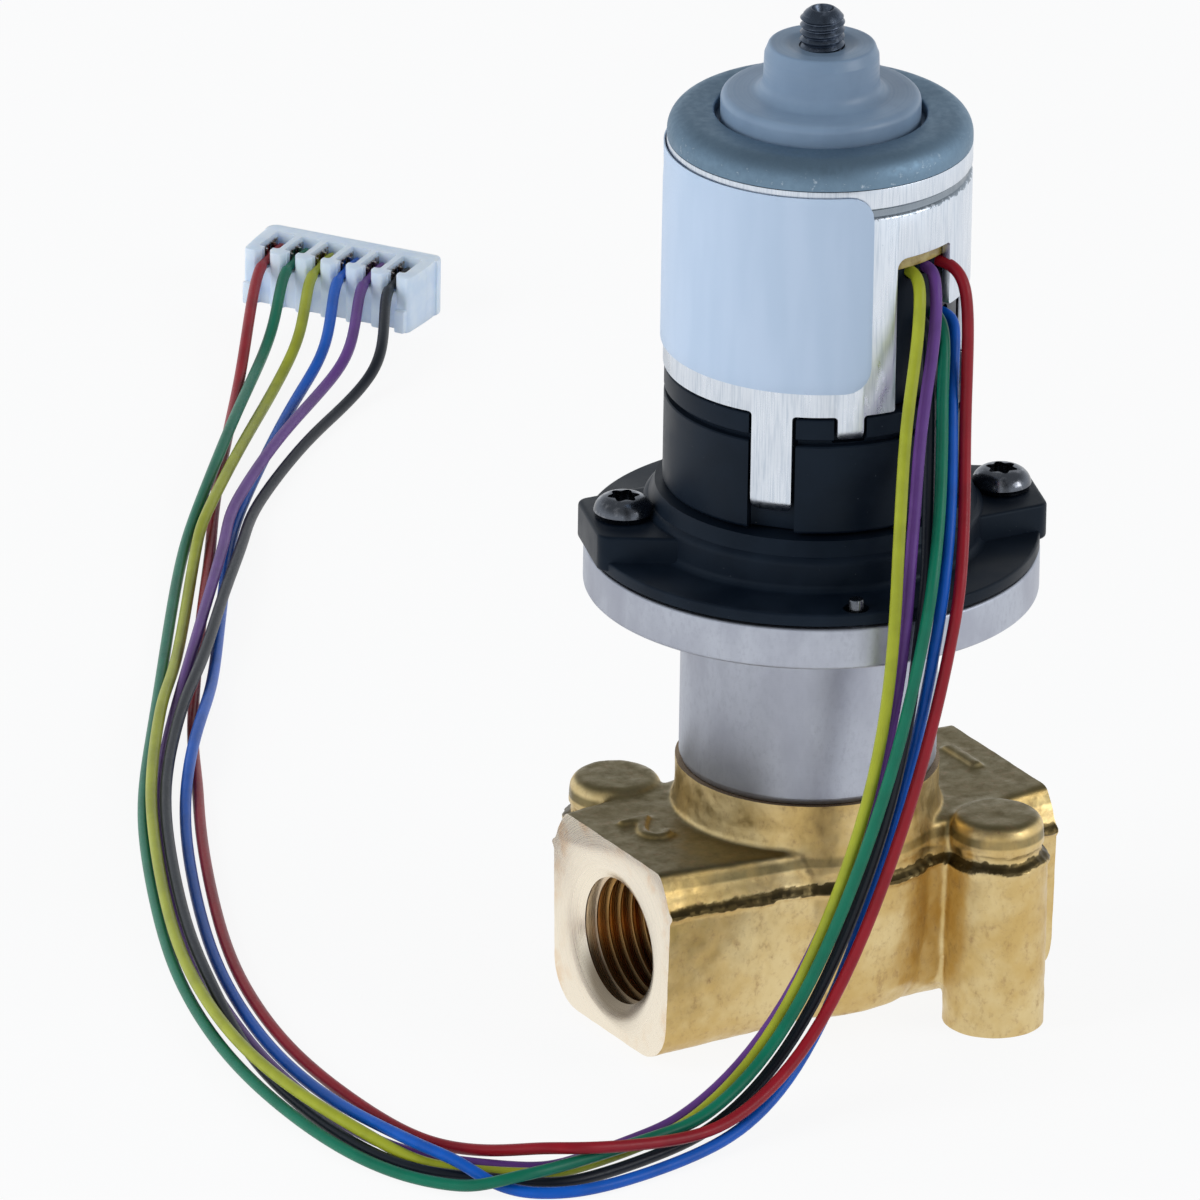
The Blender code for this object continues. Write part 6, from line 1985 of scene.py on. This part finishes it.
@dataclass
class MotorCan:
    """The drawn can: rolled groove, lead window, two long straps tucked in at their ends, two short tabs."""

    radius: float = 10.0
    wall: float = 0.6
    low: float = 45.7
    high: float = 61.5
    strap_low: float = 38.8
    tab_low: float = 44.0
    window_high: float = 56.3
    notch_high: float = 51.9
    groove: float = GROOVE
    groove_half: float = 0.45
    groove_depth: float = 0.22

    def outline(self) -> list[Corner]:
        """The developed outline, from the seam at the back once round.

        Returns:
            (angle, height, corner radius) of each corner.
        """
        seam = -230.0
        corners = [(seam, self.high, 0.0), (seam, self.low, 0.0)]
        corners += self.feet(0)
        corners += [(-90.8, self.low, 0.15), (-90.8, self.window_high, 0.7)]
        corners += [(-63.0, self.window_high, 0.3), (-63.0, self.notch_high, 0.2)]
        corners += [(-21.8, self.notch_high, 0.6), (-21.8, self.low, 0.3)]
        corners += self.feet(1)
        corners += [(seam + 360.0, self.low, 0.0), (seam + 360.0, self.high, 0.0)]
        return corners

    def feet(self, number: int) -> list[Corner]:
        """The corners of one strap and the tab beside it.

        Args:
            number: 0 for those left of the window, 1 for those opposite.

        Returns:
            (angle, height, corner radius) of each corner.
        """
        corners = []
        for (turn, half), bottom, rounding in (
            (STRAPS[number], self.strap_low, 0.5), (TABS[number], self.tab_low, 0.35)
        ):
            corners += [(turn - half, self.low, 0.25), (turn - half, bottom, rounding)]
            corners += [(turn + half, bottom, rounding), (turn + half, self.low, 0.25)]
        return corners

    def sink(self, angle: float, height: float) -> float:
        """How far the can is pressed in: the rolled groove, and the straps' tucked ends.

        Args:
            angle: Angle about the axis.
            height: Height.

        Returns:
            The depth.
        """
        away = abs(height - self.groove) / self.groove_half
        if away < 1.0:
            return self.groove_depth * min(1.0, 0.9 * (1.0 + math.cos(math.pi * away)))
        if min(abs(angle - turn) for turn, _ in TABS) < 6.0:
            return 0.7 * max(0.0, self.tab_low + 0.8 - height) ** 2
        return 0.55 * max(0.0, self.strap_low + 0.95 - height) ** 2

    def build(self) -> None:
        """Draws, cuts and rolls the can."""
        sheet = Wrapped(self.radius, self.wall)
        bm = sheet.blank(self.outline(), True, 0.05)
        steps = [self.groove + self.groove_half * share / 4.0 for share in range(-4, 5)]
        steps += [self.strap_low + share for share in (0.14, 0.28, 0.42, 0.56, 0.7, 0.84, 0.95)]
        steps += [self.tab_low + share for share in (0.15, 0.3, 0.45, 0.6, 0.7, 0.8)]
        sheet.slice(bm, steps)
        made = sheet.roll(bm, self.sink)
        publish("drawn_can", made, PlatedSheet(), stands_for=("motor_can",))


@dataclass
class BlankLabel:
    """The blank label round the left of the can, with rounded corners."""

    radius: float = 10.2
    thickness: float = 0.1
    start: float = -271.4
    end: float = -101.4
    low: float = 47.4
    high: float = 61.1
    corner: float = 1.7

    def sink(self, angle: float, height: float) -> float:
        """How far the film follows the groove and ripples.

        Args:
            angle: Angle about the motor's axis, in degrees.
            height: Height above the feet.

        Returns:
            The distance inward.
        """
        away = abs(height - GROOVE) / 0.9
        groove = 0.03 * (1.0 + math.cos(math.pi * away)) if away < 1.0 else 0.0
        return groove + 0.012 * noise.noise(Vector((angle * 0.12, height * 0.1, 3.0)))

    def build(self) -> None:
        """Cuts and wraps the label."""
        sheet = Wrapped(self.radius, self.thickness)
        ends = ((self.start, self.high), (self.start, self.low), (self.end, self.low), (self.end, self.high))
        bm = sheet.blank([(angle, height, self.corner) for angle, height in ends], False, 0.02)
        sheet.slice(bm, [self.low + share for share in range(1, 14)])
        publish("blank_label", sheet.roll(bm, self.sink), LabelFilm(), stands_for=("label",))


@dataclass
class EndPlate:
    """The pressed end plate on top of the can, with its large hole."""

    radius: float = 10.0
    hole: float = 6.94
    low: float = 61.53
    high: float = 63.4
    corner: float = 1.5
    wall: float = 0.8

    def build(self) -> None:
        """Presses the plate."""
        inner = self.high - self.wall
        profile: Profile = arc((self.hole + 0.2, self.high - 0.2), 0.2, 180.0, 90.0, 3)
        profile += arc((self.radius - self.corner, self.high - self.corner), self.corner, 90.0, 0.0, 14)
        profile += [(self.radius, self.low + 0.02), (self.radius - 0.02, self.low)]
        profile += [(self.radius - self.wall, self.low), (self.radius - self.wall, inner), (self.hole, inner)]
        made = spun(profile, FINE)
        publish("pressed_plate", made, PressedSheet(), stands_for=("end_plate",))


@dataclass
class TopBush:
    """The grey bush: a disc in the end plate's hole and a collar round the spindle with a dished top."""

    disc: float = 6.56
    disc_high: float = 64.7
    collar: float = 3.8
    high: float = 68.03

    def build(self) -> None:
        """Moulds the bush."""
        profile: Profile = [(2.1, 67.9), (2.25, 67.97), (2.6, 68.0)]
        profile += arc((3.3, self.high - 0.25), 0.25, 95.0, 30.0, 5)
        profile += arc((self.collar - 0.2, self.high - 0.75), 0.15, 40.0, 0.0, 2)
        profile += [(self.collar - 0.02, 66.6)]
        profile += arc((self.collar + 0.9, self.disc_high + 0.9), 0.9, 180.0, 268.0, 9)
        profile += [(5.5, self.disc_high - 0.02)]
        profile += arc((self.disc - 0.55, self.disc_high - 0.6), 0.55, 84.0, 0.0, 8)
        profile += [(self.disc, 62.4), (8.8, 62.4), (8.8, 61.6), (2.9, 61.6), (2.9, 63.8), (1.77, 63.8)]
        profile += [(1.77, 67.5), (1.5, 67.65), (1.5, 67.86), (1.56, 67.88)]
        publish("bush", spun(profile, FINE), Bushing(), stands_for=("top_bush",))


@dataclass
class Spindle:
    """The black threaded spindle with a dimple in its tip, turned round here though the real one is a
    hexagon.
    """

    radius: float = 1.47
    core: float = 1.25
    pitch: float = 0.5
    low: float = 28.8
    high: float = 70.45
    steps: int = 40

    def thread(self) -> Solid:
        """Rolls a helical thread that is longer than the spindle at both ends.

        Returns:
            The threaded rod.
        """
        section = [
            (self.core, 0.0), (self.core, 0.1), (self.radius - 0.02, 0.46), (self.radius, 0.52),
            (self.radius, 0.58), (self.radius - 0.02, 0.64), (self.core, 1.0),
        ]
        bm = bmesh.new()
        start = self.low - self.pitch
        verts = [bm.verts.new((reach, 0.0, start + share * self.pitch)) for reach, share in section]
        edges = [bm.edges.new(pair) for pair in zip(verts, verts[1:])]
        bmesh.ops.spin(
            bm, geom=verts + edges, cent=(0, 0, 0), axis=(0, 0, 1), dvec=(0, 0, self.pitch / self.steps),
            angle=math.tau, steps=self.steps, use_merge=False,
        )
        made = loose(bm)
        array = made.modifiers.new("turns", "ARRAY")
        array.count = math.ceil((self.high - self.low) / self.pitch) + 2
        array.use_relative_offset = False
        array.use_constant_offset = True
        array.constant_offset_displace = (0, 0, self.pitch)
        bm = settled(made)
        bmesh.ops.remove_doubles(bm, verts=bm.verts, dist=0.001)
        bmesh.ops.holes_fill(bm, edges=[edge for edge in bm.edges if edge.is_boundary], sides=0)
        bmesh.ops.triangulate(bm, faces=[face for face in bm.faces if len(face.verts) > 4])
        bmesh.ops.recalc_face_normals(bm, faces=bm.faces)
        return bm

    def build(self) -> None:
        """Turns, threads and dimples the spindle."""
        top = self.high
        envelope: Profile = [(0.0, top), (0.8, top), (0.9, top - 0.05), (1.15, top - 0.25)]
        envelope += [(1.36, top - 0.5), (1.6, top - 0.8)]
        envelope += [(1.6, self.low + 0.3), (1.3, self.low), (0.0, self.low)]
        dimple = [(0.0, top + 0.5), (0.84, top + 0.5), (0.7, top - 0.1), (0.42, top - 0.5), (0.0, top - 0.6)]
        steps = [(spun(envelope, ROUND), Cut.MEET), (spun(dimple, SMALL), Cut.TAKE)]
        made = combined(self.thread(), steps)
        publish("threaded_spindle", made, BlackedSteel(), Body.SPINDLE, ("spindle",))


@dataclass
class LeadWindow:
    """The black block that holds the leads inside the can's window, and the amber film over it."""

    inner: float = 7.9
    outer: float = 9.1
    low: float = 45.7
    high: float = 55.9
    step: float = 51.7

    def build(self) -> None:
        """Moulds the block and folds the film."""
        block = softened(sector(self.inner, self.outer, -89.4, -23.2, self.low, self.high), 0.12, 50.0)
        cuts = [sector(self.inner - 1.0, self.outer + 1.0, -59.0, -20.0, self.step, self.high + 1.0)]
        for route in ROUTES.values():
            first = Vector(route[0])
            along = (Vector(route[1]) - first).normalized()
            cuts.append(rod(0.55, first - along * 3.0, first + along * 3.0, 24))
        made = combined(block, take(*cuts))
        publish("lead_block", made, Moulding(), stands_for=("terminal_block",))
        film = Wrapped(9.3, 0.1)
        corners = ((-92.8, 57.6), (-92.8, 55.3), (-54.8, 55.3), (-54.8, 57.6))
        bm = film.blank([(angle, height, 0.3) for angle, height in corners], False, 0.0)
        film.slice(bm, [])
        publish("amber_strip", film.roll(bm), AmberFilm(), stands_for=("insulation_strip",))


@dataclass
class CarriedPieces:
    """Pieces of the frame whose shape is right as it is, which only get their finish."""

    def finishes(self) -> dict[str, Finish]:
        """The finish of each material slot.

        Returns:
            The finishes by the slot's name.
        """
        bronze = Speckled("sintered bronze", (0.5, 0.34, 0.2), 0.42, 1.0, (0.32, 0.2, 0.1))
        acetal = Speckled("hub acetal", (0.7, 0.69, 0.65), 0.4, 0.0, (0.62, 0.61, 0.57), (0.3, 4.0, 0.6))
        copper = Speckled("copper wire", (0.6, 0.26, 0.12), 0.3, 1.0, (0.4, 0.14, 0.06), (0.1, 4.0, 0.6))
        return {
            "forged_brass": ForgedBrass(),
            "seat_steel": TurnedSteel(),
            "turned_steel": TurnedSteel(),
            "plunger_steel": TurnedSteel(),
            "seal_rubber": Speckled("seal rubber", (0.015, 0.015, 0.016), 0.6, 0.0, (0.03, 0.03, 0.032)),
            "bush_bronze": bronze,
            "bearing_bronze": bronze,
            "black_plastic": Moulding(),
            "screw_steel": PlatedScrew(),
            "rotor_plastic": acetal,
            "ferrite": Speckled("ferrite", (0.05, 0.05, 0.055), 0.55, 0.2, (0.09, 0.09, 0.1)),
            "spindle_steel": BlackedSteel(),
            "pole_iron": Speckled("pole iron", (0.42, 0.43, 0.46), 0.35, 1.0, (0.3, 0.31, 0.34)),
            "bobbin_plastic": Moulding("bobbin moulding"),
            "copper_winding": copper,
            "plated_steel": PlatedSheet(),
            "label_film": LabelFilm(),
            "grey_plastic": Bushing(),
            "amber_film": AmberFilm(),
            "nylon": NaturalNylon(),
            "tinned_bronze": TinnedBronze(),
        }

    def build(self) -> None:
        """Gives each carried node its finish."""
        slots = self.finishes()
        named = {part["node"]: part["material_slot"] for part in frame["record"]["subparts"]}
        for node, item in frame["nodes"].items():
            finish = slots.get(named.get(node, ""))
            if finish is None:
                continue
            item.data.materials.clear()
            item.data.materials.append(finish.material())
            log.info("%s: %s", node, finish.name)


def main() -> None:
    """Builds the studio and every sub-assembly in turn."""
    Studio().build()
    housing, contacts = Connector().build()
    Leads().build((housing,), contacts)
    CarriedPieces().build()
    for assembly in (
        ValveBody(),
        SteelTube(),
        ReturnSpring(),
        MotorFlange(),
        FlangeFixings(),
        FrontHousing(),
        MotorCan(),
        BlankLabel(),
        EndPlate(),
        TopBush(),
        Spindle(),
        LeadWindow(),
    ):
        assembly.build()


if __name__ == "__main__":
    logging.basicConfig(level=logging.INFO, format="%(message)s")
    main()
